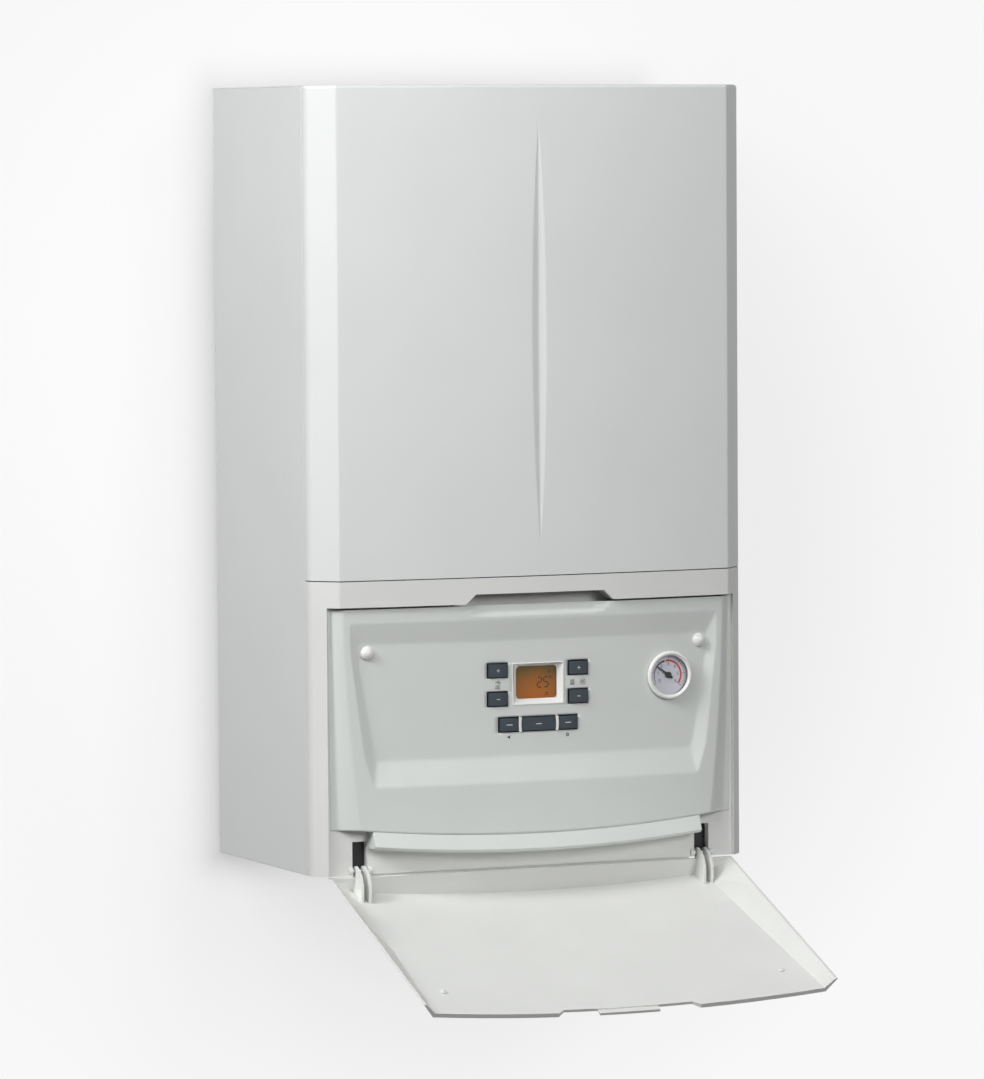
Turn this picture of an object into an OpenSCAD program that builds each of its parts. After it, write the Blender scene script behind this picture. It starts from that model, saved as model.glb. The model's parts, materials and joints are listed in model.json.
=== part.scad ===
// Wall-hung indoor unit of an air to water heat pump, with its lower flap hanging open.
// Millimetres. X runs to the right seen from the front, Y towards the wall, Z up.
// The wall is the plane Y = 0 and the bottom edge of the casing is Z = 0.

/* [Casing] */
// Width over the two side panels
casing_w = 440; // [434:1:470]
// Height from the bottom edge to the top panel
casing_h = 727; // [722:1:800]
// Depth from the wall to the crisp edge of the front
casing_d = 252; // [250:1:290]
// How far the front swells forward of that edge at the middle
front_bow = 10; // [6:0.5:12]
// Width of each slanted front corner
chamfer_w = 22; // [20:0.5:23]
// Depth of each slanted front corner
chamfer_d = 22; // [20:0.5:24]
// Bend radius between side and slanted corner
bend_r = 12; // [8:0.5:12]
// Radius of the crisp edge between slanted corner and front
edge_r = 4; // [2:0.5:5]
// Thickness of the painted steel panels
panel_t = 1.2; // [1:0.1:1.5]
// Wall of the pressed front cover
cover_t = 2; // [1.5:0.1:2.5]
// Height of the joint between upper cover and lower frame
seam_z = 272; // [270:1:276]
// Open joint between neighbouring casing parts
seam_gap = 1; // [0.6:0.1:1.4]

/* [Crease of the upper cover] */
// Height where the crease starts
crease_z0 = 296; // [290:1:310]
// Height where the crease ends
crease_z1 = 697; // [680:1:700]
// Width of the crease at its middle
crease_w = 14; // [10:0.5:18]
// Depth of the crease at its middle
crease_depth = 2.2; // [1.6:0.1:4]

/* [Back frame and wall bracket] */
// Thickness of the galvanised sheet
frame_sheet = 1.5; // [1.2:0.1:2]
// Room behind the back plate for the wall bracket
bracket_room = 12.5; // [12:0.5:14]
// Thickness of the wall bracket
bracket_t = 2.5; // [2:0.1:3]
// Width of the wall bracket
bracket_w = 360; // [330:1:380]
// Height of the lower edge of the wall bracket
bracket_z = 610; // [590:1:620]
// Height of the bracket strip that lies on the wall
bracket_h = 40; // [36:1:44]
// Distance between the two wall screws
wall_hole_pitch = 300; // [280:1:310]
// Radius of the wall screw holes
wall_hole_r = 4.5; // [4:0.1:5.5]
// Height of the bottom plate that the pipes pass through
base_z = 45; // [44:1:48]
// Clearance round each pipe in the bottom plate
pipe_gap = 1.5; // [1:0.1:2]

/* [Lower frame] */
// Wall of the plastic mouldings
mould_t = 2.5; // [2:0.1:3]
// Half width of the recess that the flap closes
recess_half = 207; // [206.5:0.1:208]
// Height of the top edge of the recess
recess_top = 248; // [246:1:250]
// Depth of the recess floor behind the front edge
recess_depth = 12.5; // [12:0.1:13]
// Half width of the finger notch at its top
notch_half = 65; // [55:1:80]
// Height of the finger notch above the recess
notch_h = 9; // [6:0.5:12]
// Sideways run of the slanted notch ends
notch_slant = 10; // [6:0.5:14]
// Half distance between the hinge slots
slot_x = 174.5; // [174:0.1:175]
// Width of each hinge slot
slot_w = 15; // [14.5:0.1:15.5]
// Height of each hinge slot
slot_h = 31; // [30.5:0.1:32]

/* [Control panel] */
// Distance of the panel face behind the front surface at mid height
face_back = 3; // [2.8:0.1:3.4]
// Angle by which the panel face leans back towards its top
face_lean = 0.6; // [0.3:0.1:0.8]
// Half width of the panel face at its top
face_half_top = 194; // [190:0.5:195]
// Half width of the panel face at its foot
face_half_foot = 179; // [176:0.5:180]
// Height of the top of the panel face
face_top = 246; // [244:0.5:247]
// Half width over the panel flanks at their top
flank_half_top = 205.8; // [204:0.1:206]
// Half width over the panel flanks at their foot
flank_half_foot = 203.6; // [202:0.1:205]
// Depth of the finger scoop in the top of the panel
scoop_depth = 4.5; // [3:0.1:4.8]
// Height of the finger scoop below the top of the recess
scoop_h = 11; // [8:0.5:12]
// Depth of the shallow dish that holds the controls
dish_depth = 5; // [4:0.1:5.5]
// Height of the upper lip of the dish
dish_top = 233; // [231:0.5:235]
// Height of the lower lip of the dish
dish_foot = 81; // [78:0.5:84]
// Half width of the dish at its top
dish_half = 187; // [184:0.5:188]
// Rise of the smile-shaped ledge at its middle
ledge_z = 32.5; // [31:0.5:34]
// Height of the slanted ledge face
ledge_h = 13; // [12:0.5:14]
// How far the ledge lip stands forward of the panel face
ledge_out = 6; // [4:0.1:6.2]
// How much higher the ledge sits at its ends
smile = 9.5; // [7:0.5:10]
// Half distance between the two screw covers
cap_x = 169; // [166:0.5:170]
// Height of the two screw covers
cap_z = 205.4; // [202:0.1:208]
// Radius of a screw cover
cap_r = 7; // [6:0.1:7.5]

/* [Display and buttons] */
// Width of the display surround
lcd_w = 52.4; // [50:0.1:54]
// Height of the display surround
lcd_h = 39.4; // [38:0.1:41]
// Height of the middle of the display
lcd_z = 171.7; // [170:0.1:173]
// Width of the visible display window
window_w = 41; // [38:0.1:42]
// Height of the visible display window
window_h = 30; // [28:0.1:31]
// Width of a side button
key_w = 19; // [17:0.1:19.5]
// Height of a button
key_h = 12; // [11:0.1:12.5]
// Half distance between the side button columns
key_x = 41; // [40:0.1:42]
// Half distance between the side button rows
key_rise = 13.3; // [13:0.1:14]
// Height of the middle of the bottom button row
row_z = 134.2; // [132:0.1:136]
// Half width of the middle bottom button
mode_half = 17.2; // [16:0.1:18]
// Width of the two outer bottom buttons
row_key_w = 19; // [17:0.1:19.5]
// How far a button stands proud
key_proud = 1.8; // [1.4:0.1:2.2]
// Play between a button and its opening
key_play = 0.3; // [0.2:0.05:0.4]
// How far a button travels
key_travel = 1.2; // [0.8:0.1:1.3]
// Width of the curved dividers of the bottom row
divider_w = 2.6; // [2:0.1:2.8]

/* [Pressure gauge] */
// Sideways place of the gauge
gauge_x = 136.3; // [134:0.1:138]
// Height of the gauge
gauge_z = 174; // [172:0.5:176]
// Outer radius of the gauge ring
gauge_r = 22.7; // [22.3:0.1:24]
// Radius of the dial that shows
dial_r = 18.5; // [18:0.1:18.8]
// Running clearance of shafts and pins, on the radius
running = 0.05; // [0.03:0.01:0.08]
// Angle of the resting needle from the X axis
needle_deg = 144; // [120:1:180]

/* [Flap] */
// Half width over the flap flanges
flap_half = 206; // [205:0.1:206.2]
// Wall of the flap
flap_t = 2.6; // [2.2:0.1:2.8]
// Height of the lower edge when the flap is shut
flap_z0 = 6; // [6:0.1:7]
// Height of the free edge when the flap is shut
flap_z1 = 247; // [244:0.5:247]
// How much the shut flap swells forward at its foot
flap_swell = 7; // [6.5:0.1:7.5]
// Half width of the flat part at the hinge side
flap_flat_foot = 180; // [176:0.5:184]
// Half width of the flat part at the free edge
flap_flat_top = 195.5; // [190:0.5:197]
// Angle that the open flap has turned from shut
open_deg = 112.5; // [100:0.5:114]
// Depth of the hinge pins behind the front edge
pivot_depth = 13; // [12.8:0.1:13.2]
// Height of the hinge pins
pivot_z = 4; // [3.8:0.1:4.2]
// Radius of the hinge pins
pin_r = 1.6; // [1.4:0.05:1.8]
// Thickness of a hinge fin
fin_t = 2.4; // [2:0.1:2.6]
// Distance between the two fins of a pair
fin_pitch = 7.6; // [7:0.1:8]

/* [Hydraulics] */
// Distance of the pipe plane from the wall
pipe_y = 90; // [88:1:92]
// Outer radius of the water pipes
water_r = 11; // [10:0.5:11.5]
// Outer radius of the refrigerant gas pipe
gas_r = 7.95; // [7:0.05:8]
// Outer radius of the refrigerant liquid pipe
liquid_r = 4.8; // [4:0.1:5]
// Wall of the pipes
pipe_wall = 1; // [0.8:0.1:1.2]
// Radius of the threaded water tails
tail_r = 13.2; // [13:0.1:13.5]
// Height of the lower end of the tails
tail_z = 8; // [6:0.5:10]
// Radius of the expansion vessel
vessel_r = 155; // [145:1:156]
// Thickness of the expansion vessel
vessel_d = 90; // [84:1:92]
// Height of the middle of the expansion vessel
vessel_z = 560; // [555:1:562]
// Height of the plate heat exchanger
plates_h = 280; // [260:5:300]
// Radius of the backup heater
heater_r = 38; // [34:0.5:38]
// Height of the backup heater
heater_h = 270; // [255:5:280]
// Radius of the pump motor
motor_r = 42; // [38:0.5:43]

/* [Hidden] */
$fn = 64;

half_w = casing_w / 2;
// How far the casing is wider or higher than the one that the sizes above are given for
usual_w = 440;
usual_h = 727;
widen = (casing_w - usual_w) / 2;
lift = casing_h - usual_h;
recess_x = recess_half + widen;
face_x_top = face_half_top + widen;
face_x_foot = face_half_foot + widen;
flank_x_top = flank_half_top + widen;
flank_x_foot = flank_half_foot + widen;
dish_x = dish_half + widen;
cap_mid = cap_x + widen;
slot_mid = slot_x + widen;
gauge_mid = gauge_x + widen;
flap_x = flap_half + widen;
flat_x_foot = flap_flat_foot + widen;
flat_x_top = flap_flat_top + widen;
bracket_foot = bracket_z + lift;
vessel_mid = vessel_z + lift;
face_half = half_w - chamfer_w;
side_front = casing_d - chamfer_d;
bow_r = (pow(face_half, 2) + pow(front_bow, 2)) / (2 * front_bow);
cover_return = 8;
side_end = side_front - cover_return;

// Swell of the front at x, and the y of a surface that lies back behind the front
function bulge(x) = sqrt(pow(bow_r, 2) - pow(x, 2)) - (bow_r - front_bow);
function front_y(x, back = 0) = back - casing_d - bulge(x);
function depth_y(back) = back - casing_d;
function lerp(a, b, t) = a + (b - a) * t;
function unit(v) = v / norm(v);

// Arc that rounds the corner b between a and c
function corner_arc(a, b, c, r, n) =
    let (u = unit(a - b), v = unit(c - b), turn = acos(u * v), reach = r / tan(turn / 2),
        middle = b + unit(u + v) * r / sin(turn / 2),
        s = b + u * reach - middle, e = b + v * reach - middle, sweep = 180 - turn)
    [for (i = [0:n]) middle + (s * sin((1 - i / n) * sweep) + e * sin(i / n * sweep)) / sin(sweep)];
// Outline with its corners rounded, each by its own radius
function rounded(points, radii, n = 6) =
    let (count = len(points))
    [for (i = [0:count - 1])
        let (r = is_list(radii) ? radii[i] : radii)
        each (r > 0 ? corner_arc(points[(i + count - 1) % count], points[i],
            points[(i + 1) % count], r, n) : [points[i]])];

// Closed surface through rings of points that all have the same count. Its ends are fans, or
// strips between the two halves of a ring where the ring is a thin bent wall
module loft(rings, thin = false) {
    count = len(rings[0]);
    last = len(rings) - 1;
    middle = function (ring) [for (k = [0:2]) [for (p = ring) p[k]] * [for (p = ring) 1] / count];
    points = concat([for (ring = rings) each ring], thin ? [] : [middle(rings[0]),
        middle(rings[last])]);
    foot = (last + 1) * count;
    faces = [
        for (j = [0:last - 1], i = [0:count - 1])
            let (a = j * count + i, b = j * count + (i + 1) % count)
            each [[a, b, b + count], [a, b + count, a + count]],
        if (!thin) for (i = [0:count - 1])
            each [[foot, (i + 1) % count, i], [foot + 1, last * count + i,
                last * count + (i + 1) % count]],
        if (thin) for (i = [0:count / 2 - 2])
            let (a = i, b = i + 1, c = count - 2 - i, d = count - 1 - i, top = last * count)
            each [[b, a, d], [b, d, c], [top + a, top + b, top + d], [top + b, top + c, top + d]]
    ];
    polyhedron(points, faces, convexity = 6);
}

// Plan outline of the front, drawn inset parallel to the outside
bow_steps = 24;
function front_outline(inset, back) =
    let (turn = atan2(chamfer_w, chamfer_d) / 2,
        side_x = half_w - inset,
        side_y = -side_front + inset * tan(turn),
        edge_x = face_half - inset * tan(45 - turn),
        edge_y = -casing_d + inset,
        right = [for (p = corner_arc([side_x, -back], [side_x, side_y], [edge_x, edge_y],
            max(bend_r - inset, 1), 6)) p],
        bow = [for (i = [1:bow_steps - 1]) let (x = edge_x * (1 - 2 * i / bow_steps))
            [x, front_y(x, inset)]],
        crisp = corner_arc([side_x, side_y], [edge_x, edge_y], bow[0], max(edge_r - inset, 0.8), 3))
    concat([[side_x, -back]], right, crisp, bow, [for (i = [len(crisp) - 1:-1:0])
        [-crisp[i].x, crisp[i].y]], [for (i = [len(right) - 1:-1:0]) [-right[i].x, right[i].y]],
        [[-side_x, -back]]);
module front_block(inset, z0, z1, back = side_end) {
    translate([0, 0, z0]) linear_extrude(z1 - z0) polygon(front_outline(inset, back));
}

// Everything in front of a surface that lies back behind the swelling front
bow_ahead = 60;
module ahead_of_bow(back, z0, z1) {
    points = [for (i = [0:bow_steps]) let (x = lerp(-half_w, half_w, i / bow_steps))
        [x, front_y(x, back)]];
    translate([0, 0, z0]) linear_extrude(z1 - z0)
        polygon(concat(points, [[half_w, depth_y(-bow_ahead)], [-half_w, depth_y(-bow_ahead)]]));
}
// Depth of the leaning panel face behind the front, and everything in front of that face
lean_z = 140;
function face_at(z) = face_back + (z - lean_z) * tan(face_lean);
module ahead_of_face() {
    translate([0, depth_y(face_back), lean_z]) rotate([-face_lean, 0, 0])
        translate([0, -depth_y(face_back), -lean_z]) ahead_of_bow(face_back, -20, seam_z);
}

// Wedge-edged disc that presses the needle-shaped crease, grown by the wall for its inner side
crease_l = crease_z1 - crease_z0;
crease_r = (pow(crease_l / 2, 2) + pow(crease_depth, 2)) / (2 * crease_depth);
crease_ratio = crease_w / 2 / crease_depth;
module crease_disc(grow) {
    reach = grow * sqrt(1 + pow(crease_ratio, 2)) / crease_ratio;
    base = 4 * crease_depth;
    sweep = 8;
    translate([0, front_y(0) + crease_depth - crease_r, (crease_z0 + crease_z1) / 2])
        rotate([0, 90, 0]) rotate([0, 0, 90 - sweep / 2]) rotate_extrude(angle = sweep, $fn = 2160)
            polygon([[crease_r + reach, 0], [crease_r - base, (base + reach) * crease_ratio],
                [crease_r - base, -(base + reach) * crease_ratio]]);
}

module on_both_sides(x) {
    for (side = [-1, 1]) translate([side * x, 0, 0]) children();
}
// Cylinder whose axis runs along Y from y0 to y1
module rod_y(x, z, y0, y1, r) {
    translate([x, y0, z]) rotate([-90, 0, 0]) cylinder(r = r, h = y1 - y0);
}
// Box given by its two opposite corners
module block(a, b) { translate(a) cube(b - a); }

// Casing

plate_y = -bracket_room - frame_sheet;
hook_z = bracket_foot + bracket_h + 12;
hook_w = 60;
hook_x = 120;
module wall_bracket() {
    color("silver") difference() {
        union() {
            block([-bracket_w / 2, -bracket_t, bracket_foot], [bracket_w / 2, 0,
                bracket_foot + bracket_h]);
            block([-bracket_w / 2, -10, bracket_foot + bracket_h - bracket_t],
                [bracket_w / 2, -bracket_t, bracket_foot + bracket_h]);
            block([-bracket_w / 2, -10, bracket_foot + bracket_h - bracket_t],
                [bracket_w / 2, -10 + bracket_t, hook_z]);
        }
        on_both_sides(wall_hole_pitch / 2)
            rod_y(0, bracket_foot + bracket_h / 2, -bracket_t - 1, 1, wall_hole_r);
        rod_y(0, bracket_foot + bracket_h / 2, -bracket_t - 1, 1, wall_hole_r);
    }
}

frame_half = half_w - panel_t - 0.3;
frame_top = casing_h - panel_t - 0.3;
frame_foot = 0;
module hook_tab() {
    block([-hook_w / 2, plate_y + frame_sheet, hook_z], [hook_w / 2, -10 + bracket_t + 0.5,
        hook_z + frame_sheet]);
    block([-hook_w / 2, -10 + bracket_t + 0.5, hook_z - 8],
        [hook_w / 2, -10 + bracket_t + 0.5 + frame_sheet, hook_z + frame_sheet]);
}
module back_frame() {
    color("gainsboro") union() {
        difference() {
            block([-frame_half, plate_y, frame_foot], [frame_half, 0, frame_top]);
            block([-frame_half + frame_sheet, plate_y + frame_sheet, frame_foot + frame_sheet],
                [frame_half - frame_sheet, 1, frame_top - frame_sheet]);
        }
        on_both_sides(hook_x) hook_tab();
        on_both_sides(frame_half - 9)
            block([-9, plate_y - 10, base_z], [9, plate_y, base_z + frame_sheet]);
    }
}

// Middles of the pipes and glands that pass through the bottom plate, each with its radius
gas_x = -185;
liquid_x = -150;
fill_x = -105;
cylinder_flow_x = -60;
heating_flow_x = 20;
cylinder_return_x = 90;
heating_return_x = 150;
discharge_x = -40;
discharge_y = 176;
heater_y = 152;
gland_y = 185;
gland_r = 8;
gland_places = [-150, -115, -80];
tail_places = [cylinder_flow_x, heating_flow_x, cylinder_return_x, heating_return_x];
fill_r = 7.5;
discharge_r = 6;
module base_hole(x, y, r) {
    translate([x, -y, base_z]) cylinder(r = r, h = 3 * frame_sheet);
}
base_front = 219;
base_lug_x = half_w - 24;
module bottom_plate() {
    color("gainsboro") difference() {
        union() {
            block([-frame_half, -base_front, base_z + frame_sheet],
                [frame_half, plate_y, base_z + 2 * frame_sheet]);
            on_both_sides(base_lug_x) block([-8, depth_y(frame_rear), base_z + frame_sheet],
                [8, -base_front, base_z + 2 * frame_sheet]);
        }
        for (x = tail_places) base_hole(x, pipe_y, water_r + pipe_gap, $fn = 48);
        base_hole(gas_x, pipe_y, gas_r + pipe_gap);
        base_hole(liquid_x, pipe_y, liquid_r + pipe_gap);
        base_hole(fill_x, pipe_y, fill_r + pipe_gap);
        base_hole(discharge_x, discharge_y, discharge_r + pipe_gap);
        for (x = gland_places) base_hole(x, gland_y, gland_r);
    }
}

// Painted side panel, folded inwards along its front, and the other side mirrored
module side_panel() {
    difference() {
        block([half_w - 12, -side_end + seam_gap, 0], [half_w, 0, casing_h - panel_t]);
        block([half_w - 13, -side_end + seam_gap + panel_t, -1],
            [half_w - panel_t, 1, casing_h + 1]);
    }
}
module left_side_panel() { color("whitesmoke") mirror([1, 0, 0]) side_panel(); }
module right_side_panel() { color("whitesmoke") side_panel(); }
module top_panel() {
    color("whitesmoke") block([-half_w, -side_end + seam_gap, casing_h - panel_t], [half_w, 0,
        casing_h]);
}

cover_z = seam_z + seam_gap;
module front_cover() {
    color("white") difference() {
        front_block(0, cover_z, casing_h);
        difference() {
            front_block(cover_t, cover_z - 1, casing_h - cover_t, side_end - 5);
            crease_disc(cover_t);
        }
        crease_disc(0);
    }
}

// Lower frame moulding

frame_rear = recess_depth + mould_t;
tongue_gap = 0.3;
tongue_t = 2;
tongue_h = 8;
window_half = recess_x - 37;
window_z0 = 56;
window_z1 = 226;
boss_r = 3.4;
boss_l = 3.8;
pocket_d = 8;
pocket_t = 2;
// Lip that hangs behind the foot of the open flap and closes the view into the casing
drip_h = 3;
drip_t = 1.2;
drip_half = slot_mid - slot_w / 2 - boss_l - 1;
module pivot_axis(x0, x1, r) {
    translate([x0, depth_y(pivot_depth), pivot_z]) rotate([0, 90, 0]) cylinder(r = r, h = x1 - x0);
}
module pin_length(r) {
    for (side = [-1, 1])
        pivot_axis(side * slot_mid - slot_w / 2 - boss_l, side * slot_mid + slot_w / 2 + boss_l, r);
}
module notch_shape() {
    rotate([90, 0, 0]) linear_extrude(60) polygon([
        [-notch_half - notch_slant, recess_top - 1], [notch_half + notch_slant, recess_top - 1],
        [notch_half + notch_slant, recess_top], [notch_half, recess_top + notch_h],
        [-notch_half, recess_top + notch_h], [-notch_half - notch_slant, recess_top]]);
}
module control_frame() {
    color("whitesmoke") difference() {
        union() {
            difference() {
                front_block(0, 0, seam_z);
                front_block(mould_t, -1, seam_z + 1, side_end - 5);
                block([-recess_x, depth_y(-30), -1], [recess_x, depth_y(recess_depth), recess_top]);
                translate([0, depth_y(recess_depth), 0]) notch_shape();
            }
            intersection() {
                front_block(0.5, 0, seam_z);
                union() {
                    block([-half_w, depth_y(recess_depth), 0], [half_w, depth_y(frame_rear),
                        recess_top + 16]);
                    on_both_sides(recess_x + mould_t / 2)
                        block([-mould_t / 2, depth_y(-4), 0], [mould_t / 2, depth_y(frame_rear),
                            recess_top]);
                    difference() {
                        block([-recess_x - mould_t, depth_y(-20), recess_top],
                            [recess_x + mould_t, depth_y(frame_rear), recess_top + notch_h + mould_t]);
                        block([-recess_x, depth_y(-21), recess_top + mould_t],
                            [-notch_half - notch_slant - mould_t, depth_y(recess_depth),
                            recess_top + 20]);
                        block([notch_half + notch_slant + mould_t, depth_y(-21), recess_top + mould_t],
                            [recess_x, depth_y(recess_depth), recess_top + 20]);
                        translate([0, depth_y(recess_depth), 0]) notch_shape();
                    }
                }
            }
            difference() {
                front_block(cover_t + tongue_gap, seam_z - mould_t, seam_z + tongue_h);
                front_block(cover_t + tongue_gap + tongue_t, seam_z - mould_t - 1,
                    seam_z + tongue_h + 1, side_end - 5);
            }
            for (side = [-1, 1]) {
                pivot_axis(side * slot_mid + slot_w / 2, side * slot_mid + slot_w / 2 + boss_l, boss_r);
                pivot_axis(side * slot_mid - slot_w / 2 - boss_l, side * slot_mid - slot_w / 2, boss_r);
            }
            block([-drip_half, depth_y(frame_rear) - drip_t, -drip_h], [drip_half, depth_y(frame_rear), 1]);
            on_both_sides(slot_mid)
                block([-slot_w / 2 - pocket_t, depth_y(frame_rear) - 0.5, 0],
                    [slot_w / 2 + pocket_t, depth_y(frame_rear) + pocket_d, slot_h + pocket_t]);
        }
        block([-window_half, depth_y(recess_depth) - 1, window_z0],
            [window_half, depth_y(frame_rear) + 1, window_z1]);
        on_both_sides(slot_mid)
            block([-slot_w / 2, depth_y(-1), -1],
                [slot_w / 2, depth_y(frame_rear) + pocket_d - pocket_t, slot_h]);
        pin_length(pin_r);
    }
}

module hinge_pins() {
    color("silver") pin_length(pin_r);
}

// Control panel moulding

face_foot = ledge_z;
function smile_z(x, z) = z + smile * pow(x / face_x_foot, 2);
smile_steps = 16;
// Half width of the tapered face and of the flanks at their rear
face_curve = 1.72;
function face_x(z) = face_x_top - (face_x_top - face_x_foot)
    * pow((face_top - z) / (face_top - face_foot - smile), face_curve);
function flank_x(z) = lerp(flank_x_foot, flank_x_top, (z - face_foot - smile) / (face_top - face_foot
    - smile));
// Right side of the panel from foot to top, at the face or at the rear of the flanks
side_levels = [52, 70, 90, 112, 136, 162, 190, 216, 234];
corner_r = 8;
function panel_side(rear) =
    let (at = function (z) rear ? flank_x(z) : face_x(z))
    concat([for (z = side_levels) [at(z), z]],
        corner_arc([at(234), 234], [at(face_top), face_top], [0, face_top], corner_r, 5));
function panel_outline(rear, inset) =
    let (side = panel_side(rear),
        half = (rear ? flank_x_foot : face_x_foot) - inset,
        foot = [for (i = [0:smile_steps]) let (t = -1 + 2 * i / smile_steps)
            [half * t, smile_z(face_x_foot * t, face_foot)]])
    concat(foot, [for (p = side) [p.x - inset, p.y]],
        [for (i = [len(side) - 1:-1:0]) [inset - side[i].x, side[i].y]]);
function ring_at(outline, y) = [for (p = outline) [p.x, y, p.y]];
floor_back = face_back + dish_depth;
module panel_body(inset) {
    rear = depth_y(recess_depth);
    back = ring_at(panel_outline(true, inset), rear);
    face = [for (p = panel_outline(false, inset)) [p.x, depth_y(face_at(p.y)), p.y]];
    reach = 3;
    intersection() {
        loft([[for (i = [0:len(back) - 1]) lerp(back[i], face[i], reach)], back]);
        difference() {
            block([-half_w, depth_y(-bow_ahead), ledge_z - 10 + inset], [half_w, rear,
                face_top + 1 - inset]);
            if (inset > 0) ahead_of_bow(floor_back + inset, 0, seam_z);
            else ahead_of_face();
        }
    }
}

// Slanted ledge that runs across the foot of the panel in a smile
ledge_half = slot_mid - slot_w / 2 - 0.5;
module ledge() {
    steps = 20;
    loft([for (i = [0:steps]) let (x = lerp(-ledge_half, ledge_half, i / steps),
        up = smile_z(x, ledge_z), low = up - ledge_h)
        [[x, depth_y(recess_depth), up + 1], [x, depth_y(recess_depth), low - 3],
            [x, front_y(x, face_back - ledge_out + 2.5), low - 3],
            [x, front_y(x, face_back - ledge_out), low - 0.5],
            [x, front_y(x, face_back - ledge_out + 0.3), low + 0.5],
            [x, front_y(x, face_at(up)) + 0.1, up], [x, front_y(x, face_at(up)) + 0.1, up + 1]]]);
}
// Scoop that gives the fingertips room behind the free edge of the shut flap
scoop_half = 62;
module finger_scoop() {
    foot = recess_top - scoop_h;
    rotate([90, 0, 0]) translate([0, 0, -front_y(0, face_at(foot)
        + scoop_depth)]) linear_extrude(bow_ahead)
        polygon([[-scoop_half, foot], [scoop_half, foot],
            [scoop_half + notch_slant, recess_top + 1], [-scoop_half - notch_slant, recess_top + 1]]);
}

// Ring of the dish at a share of its depth, from the lip at 0 to the floor at 1
function dish_outline(t) =
    let (top = lerp(dish_top, dish_top - 20, t), foot = lerp(dish_foot, dish_foot + 24, t),
        half = lerp(dish_x, dish_x - 9.5, t),
        points = [[half, top], [half - 1, top - lerp(30, 22, t)],
            [half - lerp(13, 14, t), foot + lerp(28, 13, t)], [half - lerp(22, 17, t), foot],
            [-half + lerp(22, 17, t), foot], [-half + lerp(13, 14, t), foot + lerp(28, 13, t)],
            [-half + 1, top - lerp(30, 22, t)], [-half, top]])
    rounded(points, [8, 40, 24, 8, 8, 24, 40, 8], 5);
module dish_cut() {
    rings = concat([ring_at(dish_outline(-1), depth_y(-bow_ahead / 2))],
        [for (t = [-1, 0, 1, 1.4]) [for (p = dish_outline(t))
            [p.x, front_y(min(abs(p.x), face_half), lerp(face_at(p.y), floor_back, t)), p.y]]]);
    intersection() {
        loft([for (ring = rings) [for (i = [len(ring) - 1:-1:0]) ring[i]]]);
        ahead_of_bow(floor_back, 0, seam_z);
    }
}

keys_y = front_y(0, floor_back);
cluster_rear = keys_y + 3.2;
board_y = keys_y + 10.5;
board_t = 1.6;
board_half = 62;
board_z0 = 118;
board_z1 = 202;
post_x = 56;
post_z = [123, 197];
gauge_seat = front_y(gauge_mid - gauge_r, floor_back) - 0.3;
gauge_hole_r = 21;

keys = [
    ["button_water_up", -key_x, lcd_z + key_rise, key_w],
    ["button_water_down", -key_x, lcd_z - key_rise, key_w],
    ["button_heating_up", key_x, lcd_z + key_rise, key_w],
    ["button_heating_down", key_x, lcd_z - key_rise, key_w],
    ["button_reset", -mode_half - divider_w - 2 * key_play - row_key_w / 2, row_z, row_key_w],
    ["button_mode", 0, row_z, 2 * mode_half],
    ["button_menu", mode_half + divider_w + 2 * key_play + row_key_w / 2, row_z, row_key_w]
];
module key_opening(key) {
    block([key[1] - key[3] / 2 - key_play, keys_y - 5, key[2] - key_h / 2 - key_play],
        [key[1] + key[3] / 2 + key_play, cluster_rear + 1, key[2] + key_h / 2 + key_play]);
}
module control_panel() {
    color("lightgray") difference() {
        union() {
            difference() {
                union() {
                    panel_body(0);
                    ledge();
                }
                difference() {
                    panel_body(mould_t);
                    block([-face_half, depth_y(-20), 0], [face_half, depth_y(recess_depth) + 1,
                        window_z0]);
                }
                dish_cut();
                finger_scoop();
                block([-board_half - 2, cluster_rear, board_z0 - 2],
                    [board_half + 2, depth_y(recess_depth) + 1, board_z1 + 2]);
            }
            rod_y(gauge_mid, gauge_z, gauge_seat, gauge_seat + 6, gauge_r);
            for (x = [-post_x, post_x], z = post_z) rod_y(x, z, cluster_rear - 0.5, board_y, 3);
            on_both_sides(cap_mid)
                rod_y(0, cap_z, front_y(cap_mid, floor_back) + 1, depth_y(recess_depth), 5);
        }
        rod_y(gauge_mid, gauge_z, gauge_seat - 1, depth_y(recess_depth) + 1, gauge_hole_r);
        block([-lcd_w / 2 - 0.2, keys_y - 3, lcd_z - lcd_h / 2 - 0.2],
            [lcd_w / 2 + 0.2, cluster_rear + 1, lcd_z + lcd_h / 2 + 0.2]);
        for (key = keys) key_opening(key);
        on_both_sides(cap_mid) {
            rod_y(0, cap_z, depth_y(-20), depth_y(recess_depth) + 1, 2.2);
            rod_y(0, cap_z, depth_y(-20), screw_head_y, cap_r + 0.2);
        }
    }
}

screw_head_y = front_y(cap_mid + 4, floor_back) - 0.6;
module panel_screws() {
    color("silver") on_both_sides(cap_mid) union() {
        rod_y(0, cap_z, screw_head_y - 2, screw_head_y, 3.8);
        rod_y(0, cap_z, screw_head_y, depth_y(recess_depth) - 0.5, 1.9);
    }
}
module screw_covers() {
    color("white") on_both_sides(cap_mid) difference() {
        intersection() {
            translate([0, screw_head_y + 2, cap_z]) sphere(r = cap_r);
            block([-cap_r, screw_head_y - cap_r, cap_z - cap_r], [cap_r, screw_head_y, cap_z + cap_r]);
        }
        rod_y(0, cap_z, screw_head_y - 2.3, screw_head_y + 1, 4.1);
    }
}

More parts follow.
